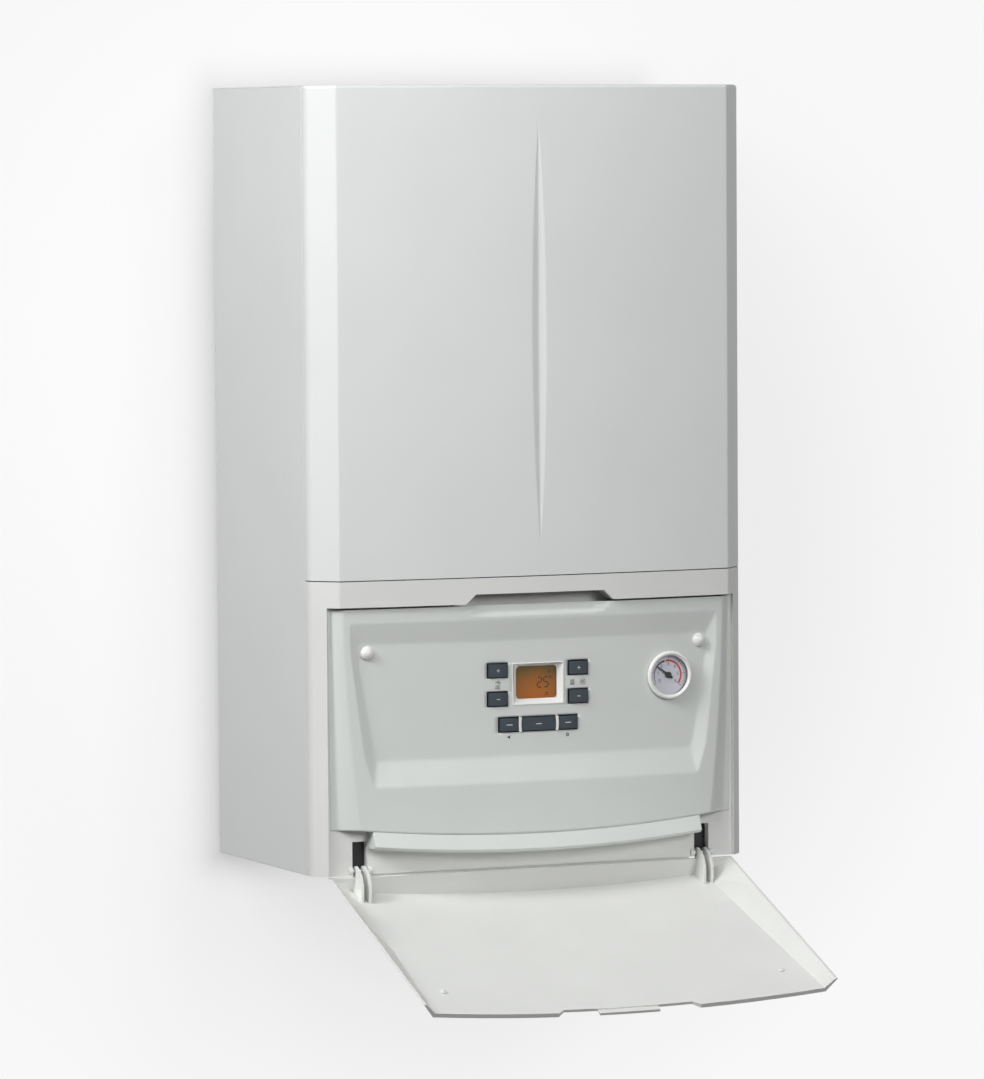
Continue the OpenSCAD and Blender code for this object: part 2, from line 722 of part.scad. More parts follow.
window_t = 1.2;
window_y = keys_y + 4;
module lcd_bezel() {
    color("white") difference() {
        union() {
            block([-lcd_w / 2, keys_y - 0.6, lcd_z - lcd_h / 2], [lcd_w / 2, window_y + window_t,
                lcd_z + lcd_h / 2]);
            block([-lcd_w / 2 - 1.6, cluster_rear, lcd_z - lcd_h / 2 - 1.4],
                [lcd_w / 2 + 1.6, window_y + window_t, lcd_z + lcd_h / 2 + 1.4]);
        }
        hull() {
            block([1.2 - lcd_w / 2, keys_y - 0.7, lcd_z + 1.2 - lcd_h / 2],
                [lcd_w / 2 - 1.2, keys_y - 0.6, lcd_z + lcd_h / 2 - 1.2]);
            block([-window_w / 2, window_y, lcd_z - window_h / 2 + 1],
                [window_w / 2, window_y + 0.01, lcd_z + window_h / 2 + 1]);
        }
        block([-window_w / 2 - 1.5, window_y, lcd_z - window_h / 2 - 0.5],
            [window_w / 2 + 1.5, window_y + window_t + 1, lcd_z + window_h / 2 + 2.5]);
    }
}
module lcd_window() {
    color("sandybrown") block([-window_w / 2 - 1.4, window_y, lcd_z - window_h / 2 - 0.4],
        [window_w / 2 + 1.4, window_y + window_t, lcd_z + window_h / 2 + 2.4]);
}
module lcd_module() {
    color("darkorange") block([-window_w / 2 - 2, window_y + window_t, lcd_z - window_h / 2 - 1],
        [window_w / 2 + 2, board_y, lcd_z + window_h / 2 + 2]);
}
switch_h = 1.4;
module display_board() {
    color("darkgreen") difference() {
        union() {
            block([-board_half, board_y, board_z0], [board_half, board_y + board_t, board_z1]);
            for (key = keys) rod_y(key[1], key[2], board_y - switch_h, board_y, 1.7);
        }
        for (x = [-post_x, post_x], z = post_z) rod_y(x, z, board_y - 1, board_y + board_t + 1, 1.4);
    }
}

// Button with a crowned face, a collar that keeps it in and a stem over its switch
module key_shape(key) {
    half = key[3] / 2;
    crown = 0.6;
    crown_r = (pow(half, 2) + pow(crown, 2)) / (2 * crown);
    collar_y = cluster_rear + 0.3;
    intersection() {
        block([key[1] - half, keys_y - key_proud - 1, key[2] - key_h / 2],
            [key[1] + half, collar_y, key[2] + key_h / 2]);
        translate([key[1], keys_y - key_proud + crown_r, key[2] - key_h / 2])
            cylinder(r = crown_r, h = key_h, $fn = 360);
    }
    block([key[1] - half - 0.9, collar_y, key[2] - key_h / 2 - 0.9],
        [key[1] + half + 0.9, collar_y + 1.1, key[2] + key_h / 2 + 0.9]);
    rod_y(key[1], key[2], collar_y + 1, board_y - switch_h - key_travel - 0.3, 2);
}
module key_node(i) { color("slategray") key_shape(keys[i]); }
module button_dividers() {
    color("white") for (side = [-1, 1])
        translate([side * (mode_half + divider_w / 2 + key_play), 0, row_z])
            rotate([90, 0, 0]) translate([0, 0, -keys_y]) linear_extrude(key_proud + 0.4)
                polygon([for (edge = [-1, 1], i = [-6:6])
                    [edge * (divider_w / 2 - 0.15) + 0.5 * side * (1 - pow(i / 6, 2)) - 0.25 * side,
                        edge * i * (key_h / 2 + 0.8) / 6]]);
}

// Pressure gauge

gauge_depth = 26;
glass_t = 1.2;
dial_t = 1;
dial_y = gauge_seat + 3;
module gauge_case() {
    color("dimgray") difference() {
        union() {
            rod_y(gauge_mid, gauge_z, gauge_seat, gauge_seat + gauge_depth, 20.5);
            rod_y(gauge_mid, gauge_z, gauge_seat + gauge_depth, gauge_seat + gauge_depth + 4, 5);
        }
        rod_y(gauge_mid, gauge_z, gauge_seat - 1, dial_y + dial_t, 19.4);
        rod_y(gauge_mid, gauge_z, dial_y, gauge_seat + gauge_depth - 6, 1 + running);
    }
}
module gauge_ring() {
    color("white") difference() {
        intersection() {
            rod_y(gauge_mid, gauge_z, gauge_seat - 4.2, gauge_seat, gauge_r);
            translate([gauge_mid, gauge_seat + 40, gauge_z]) sphere(r = 48.4, $fn = 180);
        }
        rod_y(gauge_mid, gauge_z, gauge_seat - 6, gauge_seat + 1, dial_r);
        rod_y(gauge_mid, gauge_z, gauge_seat - glass_t - 0.6, gauge_seat + 1, 19.7);
    }
}
module gauge_glass() {
    color("azure") rod_y(gauge_mid, gauge_z, gauge_seat - glass_t - 0.6, gauge_seat - 0.6, 19.6);
}
module gauge_dial() {
    color("lavender") difference() {
        rod_y(gauge_mid, gauge_z, dial_y, dial_y + dial_t, 19.3);
        rod_y(gauge_mid, gauge_z, dial_y - 1, dial_y + 2, 1.3);
    }
}
module gauge_needle() {
    color("black") union() {
        rod_y(gauge_mid, gauge_z, gauge_seat + 0.6, gauge_seat + 2.2, 2.9);
        rod_y(gauge_mid, gauge_z, gauge_seat + 2.2, gauge_seat + gauge_depth - 8, 1);
        translate([gauge_mid, gauge_seat + 1.8, gauge_z]) rotate([0, -needle_deg, 0]) rotate([90, 0, 0])
            linear_extrude(0.7) polygon([[-5, -1], [-5, 1], [0, 1], [14.5, 0.25], [14.5, -0.25], [0,
                -1]]);
    }
}

// Flap, described shut and then turned open about its pins

flap_steps = 16;
flap_gap = 1.5;
tip_depth_foot = 8;
tip_depth_top = 10;
function flap_back(z) = -flap_gap - flap_swell * (1 - (z - flap_z0) / (flap_z1 - flap_z0));
function flap_flat(z) = lerp(flat_x_foot, flat_x_top, (z - flap_z0) / (flap_z1 - flap_z0));
// Bead that thickens the free edge on its outer side
bead = 1.4;
bead_h = 6;
function flare(z) = bead * max(0, 1 - (flap_z1 - z) / bead_h);
function flap_y(x, z, inside) = front_y(x, flap_back(z) + (inside > 0 ? inside : -flare(z)));
// One level of the flap: tip, flat and tip on the outside, then back along the inside
function flap_ring(z) =
    let (flat = flap_flat(z), tip = lerp(tip_depth_foot, tip_depth_top,
        (z - flap_z0) / (flap_z1 - flap_z0)),
        xs = [for (i = [0:flap_steps]) lerp(-flat, flat, i / flap_steps)])
    concat([[-flap_x, depth_y(tip), z]], [for (x = xs) [x, flap_y(x, z, 0), z]],
        [[flap_x, depth_y(tip), z], [flap_x - flap_t, depth_y(tip), z]],
        [for (i = [flap_steps:-1:0]) let (x = xs[i] * (1 - 0.6 * flap_t / flat)) [x, flap_y(x, z,
        flap_t), z]],
        [[-flap_x + flap_t, depth_y(tip), z]]);
flap_levels = [flap_z1, flap_z1 - bead_h, each [for (t = [0.75, 0.5, 0.25, 0.03, 0]) lerp(flap_z0,
    flap_z1, t)]];
// Wall that closes the foot of the flap like a tray
module flap_foot() {
    ring = flap_ring(flap_z0 + flap_t);
    last = len(ring) - 1;
    front = [for (i = [0:flap_steps + 2]) (ring[i] + ring[last - i]) / 2];
    translate([0, 0, flap_z0]) linear_extrude(flap_t)
        polygon([for (p = front) [p.x, p.y]]);
}
// Notch in the free edge, with a thin tab left standing in its middle
grip_half = 64;
grip_depth = 6;
grip_slant = 8;
tab_half = 30;
tab_t = 1.1;
module grip_notch() {
    tab_y = front_y(0, flap_back(flap_z1)) + tab_t;
    difference() {
        rotate([90, 0, 0]) translate([0, 0, -depth_y(20)]) linear_extrude(bow_ahead) polygon([
            [-grip_half - grip_slant, flap_z1 + 1], [-grip_half, flap_z1 - grip_depth],
            [grip_half, flap_z1 - grip_depth], [grip_half + grip_slant, flap_z1 + 1]]);
        block([-tab_half, depth_y(-bow_ahead), flap_z1 - bead_h - 1], [tab_half, tab_y, flap_z1 + 2]);
    }
}
fin_foot = 7;
fin_top = 26;
module fin() {
    inner = flap_back(fin_foot) + flap_t - bulge(slot_mid) - 0.9 - pivot_depth;
    translate([0, depth_y(pivot_depth), pivot_z]) rotate([90, 0, 90]) linear_extrude(fin_t,
        center = true)
        difference() {
            union() {
                circle(r = 4.4);
                polygon(rounded([[2, -4], [4.6, 0], [4.2, 7], [1, 14], [-5, 20], [-13, 23.6],
                    [inner + 2, fin_top - 0.6], [inner, fin_top - 0.6], [inner, fin_foot - pivot_z],
                    [-9, 2], [-4, -3]], [0.5, 2, 6, 10, 10, 8, 0.5, 0, 0, 3, 2], 3));
            }
            circle(r = pin_r + running);
        }
}
module open_flap() {
    translate([0, depth_y(pivot_depth), pivot_z]) rotate([open_deg, 0, 0])
        translate([0, -depth_y(pivot_depth), -pivot_z]) children();
}
module flap() {
    color("white") open_flap() difference() {
        union() {
            loft([for (z = flap_levels) flap_ring(z)], thin = true);
            flap_foot();
            for (side = [-1, 1], pair = [-1, 1])
                translate([side * slot_mid + pair * fin_pitch / 2, 0, 0]) fin();
        }
        grip_notch();
    }
}
peg_z = cap_z;
module catch_pegs() {
    seat = front_y(cap_mid, flap_back(peg_z) + flap_t) + 0.35;
    color("white") open_flap() on_both_sides(cap_mid) union() {
        rod_y(0, peg_z, seat, seat + 1.2, 3);
        rod_y(0, peg_z, seat + 1.2, seat + 2.2, 1.8);
    }
}

// Electronics behind the panel

box_y = depth_y(frame_rear);
box_depth = 34;
box_x0 = -half_w + 35;
box_x1 = gauge_mid - 31.3;
box_z0 = 52;
box_z1 = 236;
card_y = box_y + 16;
relays = 5;
relay_x = -150;
relay_pitch = 24;
relay_w = 18;
relay_d = 12;
relay_h = 26;
relay_z = 190;
can_x = 10;
can_pitch = 26;
can_z = 195;
can_r = 9;
heatsink_d = 10;
module control_box() {
    color("darkgray") union() {
        difference() {
            block([box_x0, box_y, box_z0], [box_x1, box_y + box_depth, box_z1]);
            block([box_x0 + 2, box_y - 1, box_z0 + 2], [box_x1 - 2, box_y + box_depth - 2, box_z1 - 2]);
            for (x = gland_places) rod_y(x, 80, box_y + box_depth - 3, box_y + box_depth + 1, 6);
        }
        for (x = [box_x0 + 16, box_x1 - 16], z = [box_z0 + 18, box_z1 - 18])
            rod_y(x, z, card_y + board_t, box_y + box_depth - 1, 3.5);
    }
}
module main_board() {
    color("darkgreen") union() {
        block([box_x0 + 8, card_y, box_z0 + 10], [box_x1 - 8, card_y + board_t, box_z1 - 10]);
        for (i = [0:relays - 1]) translate([relay_x + i * relay_pitch, card_y - relay_d, relay_z])
            cube([relay_w, relay_d, relay_h]);
        for (i = [0:2]) rod_y(can_x + i * can_pitch, can_z, card_y - relay_d + 1, card_y, can_r);
        translate([-60, card_y - heatsink_d, 110]) cube([80, heatsink_d, 50]);
    }
}
module terminal_block() {
    color("ivory") difference() {
        block([-165, card_y - 12, 68], [-45, card_y, 84]);
        for (i = [0:9]) rod_y(-159 + i * 12, 76, card_y - 13, card_y - 5, 2.5);
    }
}

// Bent tube through a list of points, as straight cylinders and round elbows

function frame_angles(ex, ey, ez) =
    abs(ex.z) < 0.999 ? [atan2(ey.z, ez.z), -asin(ex.z), atan2(ex.y, ex.x)] :
    ex.z > 0 ? [atan2(-ey.x, ey.y), -90, 0] : [atan2(ey.x, ey.y), 90, 0];
module tube(route, r, bend) {
    last = len(route) - 1;
    legs = [for (i = [0:last - 1]) unit(route[i + 1] - route[i])];
    trims = [0, for (i = [1:last - 1]) bend * tan(acos(legs[i - 1] * legs[i]) / 2), 0];
    for (i = [0:last - 1]) {
        start = route[i] + legs[i] * trims[i];
        side = abs(legs[i].z) > 0.9 ? [1, 0, 0] : [0, 0, 1];
        ex = unit(cross(side, legs[i]));
        translate(start) rotate(frame_angles(ex, cross(legs[i], ex), legs[i]))
            cylinder(r = r, h = norm(route[i + 1] - route[i]) - trims[i] - trims[i + 1]);
    }
    for (i = [1:1:last - 1]) {
        start = route[i] - legs[i - 1] * trims[i];
        ez = unit(cross(legs[i - 1], legs[i]));
        ex = -cross(ez, legs[i - 1]);
        translate(start - ex * bend) rotate(frame_angles(ex, cross(ez, ex), ez))
            rotate_extrude(angle = acos(legs[i - 1] * legs[i])) translate([bend, 0]) circle(r = r);
    }
}
module hollow_tube(route, r, bend) {
    difference() {
        tube(route, r, bend);
        tube(route, r - pipe_wall, bend);
    }
}

// Plate heat exchanger with its jacket and shelf

plates_x0 = -half_w + 22;
plates_d = 52;
plates_x1 = plates_x0 + plates_d;
plates_w = 96;
plates_y = 180;
plates_z = 300;
port_y = 28;
port_l = 18;
port_x = plates_x1 + port_l;
port_z0 = plates_z + 25;
port_z1 = plates_z + plates_h - 25;
jacket_t = 6;
module rod_x(y, z, x0, x1, r) { translate([x0, y, z]) rotate([0, 90, 0]) cylinder(r = r, h = x1 - x0); }
module plate_exchanger() {
    color("tan") union() {
        block([plates_x0, -plates_y - plates_w / 2, plates_z], [plates_x1, -plates_y + plates_w / 2,
            plates_z + plates_h]);
        for (y = [-plates_y - port_y, -plates_y + port_y], z = [port_z0, port_z1])
            rod_x(y, z, plates_x1, port_x, water_r + 1.5);
    }
}
module exchanger_jacket() {
    color("dimgray") difference() {
        block([plates_x0 - jacket_t, -plates_y - plates_w / 2 - jacket_t, plates_z - jacket_t],
            [plates_x1, -plates_y + plates_w / 2 + jacket_t, plates_z + plates_h + jacket_t]);
        block([plates_x0 - 0.3, -plates_y - plates_w / 2 - 0.3, plates_z],
            [plates_x1 + 1, -plates_y + plates_w / 2 + 0.3, plates_z + plates_h + 0.3]);
    }
}
shelf_z = plates_z - jacket_t;
module exchanger_shelf() {
    union() {
        block([plates_x0 - jacket_t, -plates_y - plates_w / 2, shelf_z - frame_sheet], [plates_x1,
            plate_y, shelf_z]);
        block([plates_x0 - jacket_t, plate_y - frame_sheet, shelf_z - 24], [plates_x1, plate_y,
            shelf_z - frame_sheet]);
    }
}

// Expansion vessel in two pressed halves with its membrane

vessel_y = plate_y - vessel_d / 2;
vessel_t = 1.5;
nipple_l = 12;
module vessel_half(side) {
    translate([0, vessel_y, vessel_mid]) rotate([90 * side, 0, 0]) rotate_extrude($fn = 96)
        polygon(concat([[0, vessel_d / 2], [vessel_r - 45, vessel_d / 2]],
            [for (i = [1:7]) let (a = 90 - i * 90 / 8)
                [vessel_r - 45 + 41 * cos(a), vessel_d / 2 - 40 + 40 * sin(a)]],
            [[vessel_r - 4, vessel_d / 2 - 40], [vessel_r - 4, 3], [vessel_r, 3], [vessel_r, 0.8],
            [vessel_r - 4 - vessel_t, 0.8], [vessel_r - 4 - vessel_t, vessel_d / 2 - 40]],
            [for (i = [7:-1:1]) let (a = 90 - i * 90 / 8)
                [vessel_r - 45 + (41 - vessel_t) * cos(a), vessel_d / 2 - 40 + (40 - vessel_t)
                    * sin(a)]],
            [[vessel_r - 45, vessel_d / 2 - vessel_t], [0, vessel_d / 2 - vessel_t]]));
}
module vessel_shell() {
    color("firebrick") union() {
        vessel_half(1);
        vessel_half(-1);
        difference() {
            translate([0, vessel_y - 12, vessel_mid - vessel_r - nipple_l]) cylinder(r = 8,
                h = nipple_l + 6);
            translate([0, vessel_y, vessel_mid]) rotate([90, 0, 0]) cylinder(r = vessel_r - 4.5,
                h = 30);
        }
    }
}
module vessel_membrane() {
    color("black") rod_y(0, vessel_mid, vessel_y - 0.75, vessel_y + 0.75, vessel_r - 0.5);
}

pump_z = 160;
pump_half = 65;
pump_x = heating_return_x;
main_z = 325;
boss_h = 15;
tee_x = -60;
heater_x = 110;
heater_z = 330;
heating_bend = 20;
vessel_pipe_r = 5;
vessel_pipe_z = vessel_mid - vessel_r - nipple_l;
module vessel_pipe() {
    color("peru") hollow_tube([[0, vessel_y - 12, vessel_pipe_z], [0, vessel_y - 12,
        vessel_pipe_z - 24],
        [0, -pipe_y, vessel_pipe_z - 24], [0, -pipe_y, main_z + boss_h]], vessel_pipe_r, 8);
}

// Backup heater

module heater_tank() {
    color("lightsteelblue") difference() {
        union() {
            translate([heater_x, -heater_y, heater_z]) cylinder(r = heater_r, h = heater_h);
            rod_x(-heater_y, port_z1, heater_x - heater_r - 12, heater_x, water_r + 1.5);
        }
        translate([heater_x, -heater_y, heater_z + 2]) cylinder(r = heater_r - 2, h = heater_h - 4);
        rod_x(-heater_y, port_z1, heater_x - heater_r - 13, heater_x, water_r - pipe_wall);
        translate([heater_x, -heater_y, heater_z + heater_h - 3]) cylinder(r = 20, h = 5);
        translate([heater_x, -heater_y, heater_z - 1]) cylinder(r = water_r - pipe_wall, h = 5);
        translate([heater_x + 27, -heater_y, heater_z + heater_h - 3]) cylinder(r = 4, h = 5);
    }
}
element_top = heater_z + heater_h;
module heater_element() {
    rod_r = 4;
    rod_x0 = 11;
    color("gray") union() {
        translate([heater_x, -heater_y, element_top]) cylinder(r = 22, h = 8);
        translate([heater_x, -heater_y, element_top - 3]) cylinder(r = 19.9, h = 4);
        translate([heater_x, -heater_y, element_top + 8]) cylinder(r = 17, h = 26);
        for (a = [0, 60, 120]) translate([heater_x, -heater_y, 0]) rotate([0, 0, a])
            for (x = [-rod_x0, rod_x0]) translate([x, 0, heater_z + 40 + a / 5])
                cylinder(r = rod_r, h = heater_h - 43 - a / 5);
    }
}
module heater_strap() {
    strap_z = 362;
    difference() {
        union() {
            translate([heater_x, -heater_y, strap_z]) cylinder(r = heater_r + 2, h = 18);
            block([heater_x - 1, -heater_y + heater_r, strap_z], [heater_x + 1, plate_y, strap_z + 18]);
            block([heater_x - 14, plate_y - 2, strap_z], [heater_x + 14, plate_y, strap_z + 18]);
        }
        translate([heater_x, -heater_y, strap_z - 1]) cylinder(r = heater_r + 0.1, h = 20);
    }
}
module inner_brackets() {
    color("gainsboro") {
        exchanger_shelf();
        heater_strap();
    }
}
vent_x = heater_x + 27;
module air_vent() {
    color("goldenrod") translate([vent_x, -heater_y, 0]) union() {
        translate([0, 0, element_top - 2]) cylinder(r = 3.9, h = 4);
        translate([0, 0, element_top]) cylinder(r = 4.5, h = 12);
        translate([0, 0, element_top + 12]) cylinder(r = 9, h = 22);
        translate([0, 0, element_top + 34]) cylinder(r = 4, h = 6);
    }
}

// Circulation pump

pump_cavity_r = 31;
volute_rear = 24;
module pump_volute() {
    color("dimgray") difference() {
        union() {
            rod_y(pump_x, pump_z, -pipe_y - volute_rear, -pipe_y + 20, 40);
            translate([pump_x, -pipe_y, pump_z - pump_half]) cylinder(r = 15, h = 2 * pump_half);
            for (z = [pump_z - pump_half, pump_z + pump_half - 16])
                translate([pump_x, -pipe_y, z]) cylinder(r = 20, h = 16, $fn = 6);
        }
        rod_y(pump_x, pump_z, -pipe_y - volute_rear - 1, -pipe_y + 14, pump_cavity_r);
        translate([pump_x, -pipe_y, pump_z - pump_half - 1]) cylinder(r = 10, h = 2 * pump_half + 2);
    }
}
motor_y = -pipe_y - volute_rear;
motor_l = 76;
shaft_r = 5;
module pump_motor() {
    color("darkslategray") difference() {
        union() {
            rod_y(pump_x, pump_z, motor_y - 8, motor_y, 40);
            rod_y(pump_x, pump_z, motor_y - motor_l, motor_y - 8, motor_r);
            block([pump_x - 30, motor_y - motor_l - 4, pump_z - 30], [pump_x + 30, motor_y - motor_l,
                pump_z + 30]);
        }
        rod_y(pump_x, pump_z, motor_y - 50, motor_y + 1, shaft_r + running);
    }
}
module pump_rotor() {
    blades = 6;
    color("lightgray") union() {
        rod_y(pump_x, pump_z, motor_y - 46, -pipe_y + 4, shaft_r);
        rod_y(pump_x, pump_z, -pipe_y + 2, -pipe_y + 5, 28);
        for (i = [0:blades - 1]) translate([pump_x, -pipe_y, pump_z]) rotate([0, i * 360 / blades, 0])
            translate([3, -10, -1]) cube([24, 13, 2]);
    }
}

// Diverting valve with its spool and motor

valve_z = 180;
valve_half = 35;
spool_r = 11.5;
neck_y = -pipe_y - 26;
spool_travel = 8;
module diverter_body() {
    color("goldenrod") difference() {
        union() {
            translate([heating_flow_x, -pipe_y, valve_z - valve_half]) cylinder(r = 17,
                h = 2 * valve_half);
            rod_y(heating_flow_x, valve_z, neck_y, -pipe_y + 20, 18);
            rod_x(-pipe_y, valve_z, heating_flow_x - valve_half, heating_flow_x, 15);
        }
        translate([heating_flow_x, -pipe_y, valve_z - valve_half - 1]) cylinder(r = 9,
            h = 2 * valve_half + 2);
        rod_x(-pipe_y, valve_z, heating_flow_x - valve_half - 1, heating_flow_x, 9);
        rod_y(heating_flow_x, valve_z, -pipe_y - 20, -pipe_y + 16, spool_r + running);
        rod_y(heating_flow_x, valve_z, neck_y - 1, -pipe_y, 3 + running);
    }
}
module diverter_spool() {
    color("silver") union() {
        rod_y(heating_flow_x, valve_z, neck_y - 14, -pipe_y + 6, 3);
        rod_y(heating_flow_x, valve_z, -pipe_y - 19, -pipe_y - 13, spool_r);
        rod_y(heating_flow_x, valve_z, -pipe_y + 1, -pipe_y + 7, spool_r);
    }
}
module diverter_motor() {
    color("black") difference() {
        block([heating_flow_x - 24, neck_y - 46, valve_z - 28], [heating_flow_x + 24, neck_y,
            valve_z + 34]);
        rod_y(heating_flow_x, valve_z, neck_y - 30, neck_y + 1, 4);
    }
}
sensor_l = 40;
sensor_z = valve_z + valve_half;
module flow_sensor() {
    color("darkgray") difference() {
        union() {
            translate([heating_flow_x, -pipe_y, sensor_z]) cylinder(r = 15, h = sensor_l);
            block([heating_flow_x - 12, -pipe_y - 28, sensor_z + 8], [heating_flow_x + 12, -pipe_y,
                sensor_z + 32]);
        }
        translate([heating_flow_x, -pipe_y, sensor_z - 1]) cylinder(r = water_r - pipe_wall,
            h = sensor_l + 2);
    }
}

// Safety valve on the pipe between exchanger and heater

valve_seat_z = port_z1 + boss_h;
module safety_valve() {
    color("goldenrod") union() {
        translate([0, -heater_y, valve_seat_z]) cylinder(r = 13, h = 44);
        rod_x(-heater_y, valve_seat_z + 20, -22, 0, 9);
        translate([0, -heater_y, valve_seat_z + 44]) cylinder(r = 4, h = 6);
    }
}
module safety_knob() {
    color("firebrick") translate([0, -heater_y, valve_seat_z + 44.3]) difference() {
        cylinder(r = 15, h = 18);
        translate([0, 0, -1]) cylinder(r = 4 + running, h = 9);
        for (i = [0:5]) rotate([0, 0, i * 60]) translate([16.5, 0, -1]) cylinder(r = 3.5, h = 20);
    }
}
module discharge_pipe() {
    color("peru") hollow_tube([[-22, -heater_y, valve_seat_z + 20], [discharge_x, -heater_y,
        valve_seat_z + 20],
        [discharge_x, -discharge_y, valve_seat_z + 20], [discharge_x, -discharge_y, tail_z]],
        discharge_r, 10);
}

// Water pipes, each with its boss or threaded tail

module tail(x) {
    nut_z = tail_z + 22;
    difference() {
        union() {
            translate([x, -pipe_y, tail_z]) cylinder(r = tail_r, h = 22);
            translate([x, -pipe_y, nut_z]) cylinder(r = 18, h = 10, $fn = 6);
        }
        translate([x, -pipe_y, tail_z - 1]) cylinder(r = water_r - pipe_wall, h = 40);
    }
}
// Boss on the upper side of a pipe that runs along X
module boss(place, r) {
    foot = 4;
    difference() {
        translate(place + [0, 0, foot]) cylinder(r = r, h = boss_h - foot);
        translate(place) cylinder(r = r - 3.5, h = boss_h + 1);
        rod_x(place.y, place.z, place.x - r - 1, place.x + r + 1, water_r - pipe_wall);
    }
}
capillary_x = 65;
warm_z = 285;
tail_top = tail_z + 32;
cylinder_z = 78;
return_z = 72;
module water_pipes() {
    color("peru") union() {
        hollow_tube([[pump_x, -pipe_y, pump_z + pump_half], [pump_x, -pipe_y, main_z], [tee_x,
            -pipe_y, main_z],
            [tee_x, -plates_y + port_y, main_z], [port_x, -plates_y + port_y, main_z]], water_r,
            heating_bend);
        hollow_tube([[port_x, -heater_y, port_z1], [heater_x - heater_r - 12, -heater_y, port_z1]],
            water_r, heating_bend);
        hollow_tube([[heater_x, -heater_y, heater_z], [heater_x, -heater_y, warm_z],
            [heating_flow_x, -heater_y, warm_z], [heating_flow_x, -pipe_y, warm_z],
            [heating_flow_x, -pipe_y, sensor_z + sensor_l]], water_r, heating_bend);
        hollow_tube([[heating_flow_x, -pipe_y, valve_z - valve_half], [heating_flow_x, -pipe_y,
            tail_top]], water_r, heating_bend);
        hollow_tube([[heating_flow_x - valve_half, -pipe_y, valve_z], [cylinder_flow_x, -pipe_y,
            valve_z],
            [cylinder_flow_x, -pipe_y, tail_top]], water_r, heating_bend);
        hollow_tube([[pump_x, -pipe_y, pump_z - pump_half], [pump_x, -pipe_y, tail_top]], water_r,
            heating_bend);
        hollow_tube([[cylinder_return_x, -pipe_y, tail_top], [cylinder_return_x, -pipe_y, return_z],
            [pump_x - water_r, -pipe_y, return_z]], water_r, heating_bend);
        for (x = tail_places) tail(x);
        boss([0, -pipe_y, main_z], 8);
        boss([0, -heater_y, port_z1], 13);
    }
}

gas_z = 270;
gas_riser_x = port_x + 43;
module gas_pipe() {
    color("peru") union() {
        hollow_tube([[gas_x, -pipe_y, tail_z], [gas_x, -pipe_y, gas_z], [gas_riser_x, -pipe_y, gas_z],
            [gas_riser_x, -plates_y - port_y, gas_z], [gas_riser_x, -plates_y - port_y, port_z1],
            [port_x, -plates_y - port_y, port_z1]], gas_r, 22);
    }
}
liquid_z = 248;
liquid_riser_x = port_x + 20;
module liquid_pipe() {
    color("peru") hollow_tube([[liquid_x, -pipe_y, tail_z], [liquid_x, -pipe_y, liquid_z],
        [liquid_riser_x, -pipe_y, liquid_z], [liquid_riser_x, -plates_y - port_y, liquid_z],
        [liquid_riser_x, -plates_y - port_y, port_z0], [port_x, -plates_y - port_y, port_z0]],
        liquid_r, 14);
}

module gauge_capillary() {
    start = gauge_seat + gauge_depth + 4;
    turn_y = start + 10;
    high = warm_z + 25;
    color("peru") tube([[gauge_mid, start, gauge_z], [gauge_mid, turn_y, gauge_z], [gauge_mid, turn_y,
        high],
        [capillary_x, turn_y, high], [capillary_x, -heater_y, high], [capillary_x, -heater_y,
        warm_z + water_r]],
        1.2, 6);
}

cock_z = tail_z + 18;
cock_y = -pipe_y - 18;
spindle_r = 3;
module filling_cock() {
    color("goldenrod") union() {
        translate([fill_x, -pipe_y, tail_z]) cylinder(r = 10, h = 30);
        rod_y(fill_x, cock_z, cock_y, -pipe_y, 7);
        rod_y(fill_x, cock_z, cock_y - 9, cock_y, spindle_r);
        hollow_tube([[fill_x, -pipe_y, tail_z + 30], [fill_x, -pipe_y, cylinder_z],
            [cylinder_flow_x - water_r, -pipe_y, cylinder_z]],
            fill_r, 10);
    }
}

module cock_knob() {
    color("black") difference() {
        union() {
            rod_y(fill_x, cock_z, cock_y - 13, cock_y - 0.3, 9);
            block([fill_x - 3, cock_y - 13, cock_z], [fill_x + 3, cock_y - 7, cock_z + 17]);
        }
        rod_y(fill_x, cock_z, cock_y - 9.5, cock_y, spindle_r + running);
    }
}

module cable_glands() {
    color("gray") for (x = gland_places) translate([x, -gland_y, 0]) difference() {
        union() {
            translate([0, 0, base_z - 6]) cylinder(r = 12, h = 6 + frame_sheet, $fn = 6);
            translate([0, 0, base_z - 16]) cylinder(r = 10, h = 11);
            translate([0, 0, base_z]) cylinder(r = gland_r - 0.2, h = 12);
            translate([0, 0, base_z + 2 * frame_sheet]) cylinder(r = 12, h = 5, $fn = 6);
        }
        translate([0, 0, base_z - 17]) cylinder(r = 5, h = 40);
    }
}

wall_bracket();
back_frame();
bottom_plate();
left_side_panel();
right_side_panel();
top_panel();
front_cover();
control_frame();
control_panel();
panel_screws();
screw_covers();
lcd_bezel();
lcd_window();
lcd_module();
display_board();
key_node(0);  // button_water_up
key_node(1);  // button_water_down
key_node(2);  // button_heating_up
key_node(3);  // button_heating_down
key_node(4);  // button_reset
key_node(5);  // button_mode
key_node(6);  // button_menu
button_dividers();
gauge_case();
gauge_ring();
gauge_dial();
gauge_glass();
gauge_needle();
gauge_capillary();
control_box();
main_board();
terminal_block();
flap();
catch_pegs();
hinge_pins();
plate_exchanger();
exchanger_jacket();
inner_brackets();
vessel_shell();
vessel_membrane();
vessel_pipe();
heater_tank();
heater_element();
air_vent();
pump_volute();
pump_motor();
pump_rotor();
diverter_body();
diverter_spool();
diverter_motor();
flow_sensor();
safety_valve();
safety_knob();
discharge_pipe();
water_pipes();
gas_pipe();
liquid_pipe();
filling_cock();
cock_knob();
cable_glands();
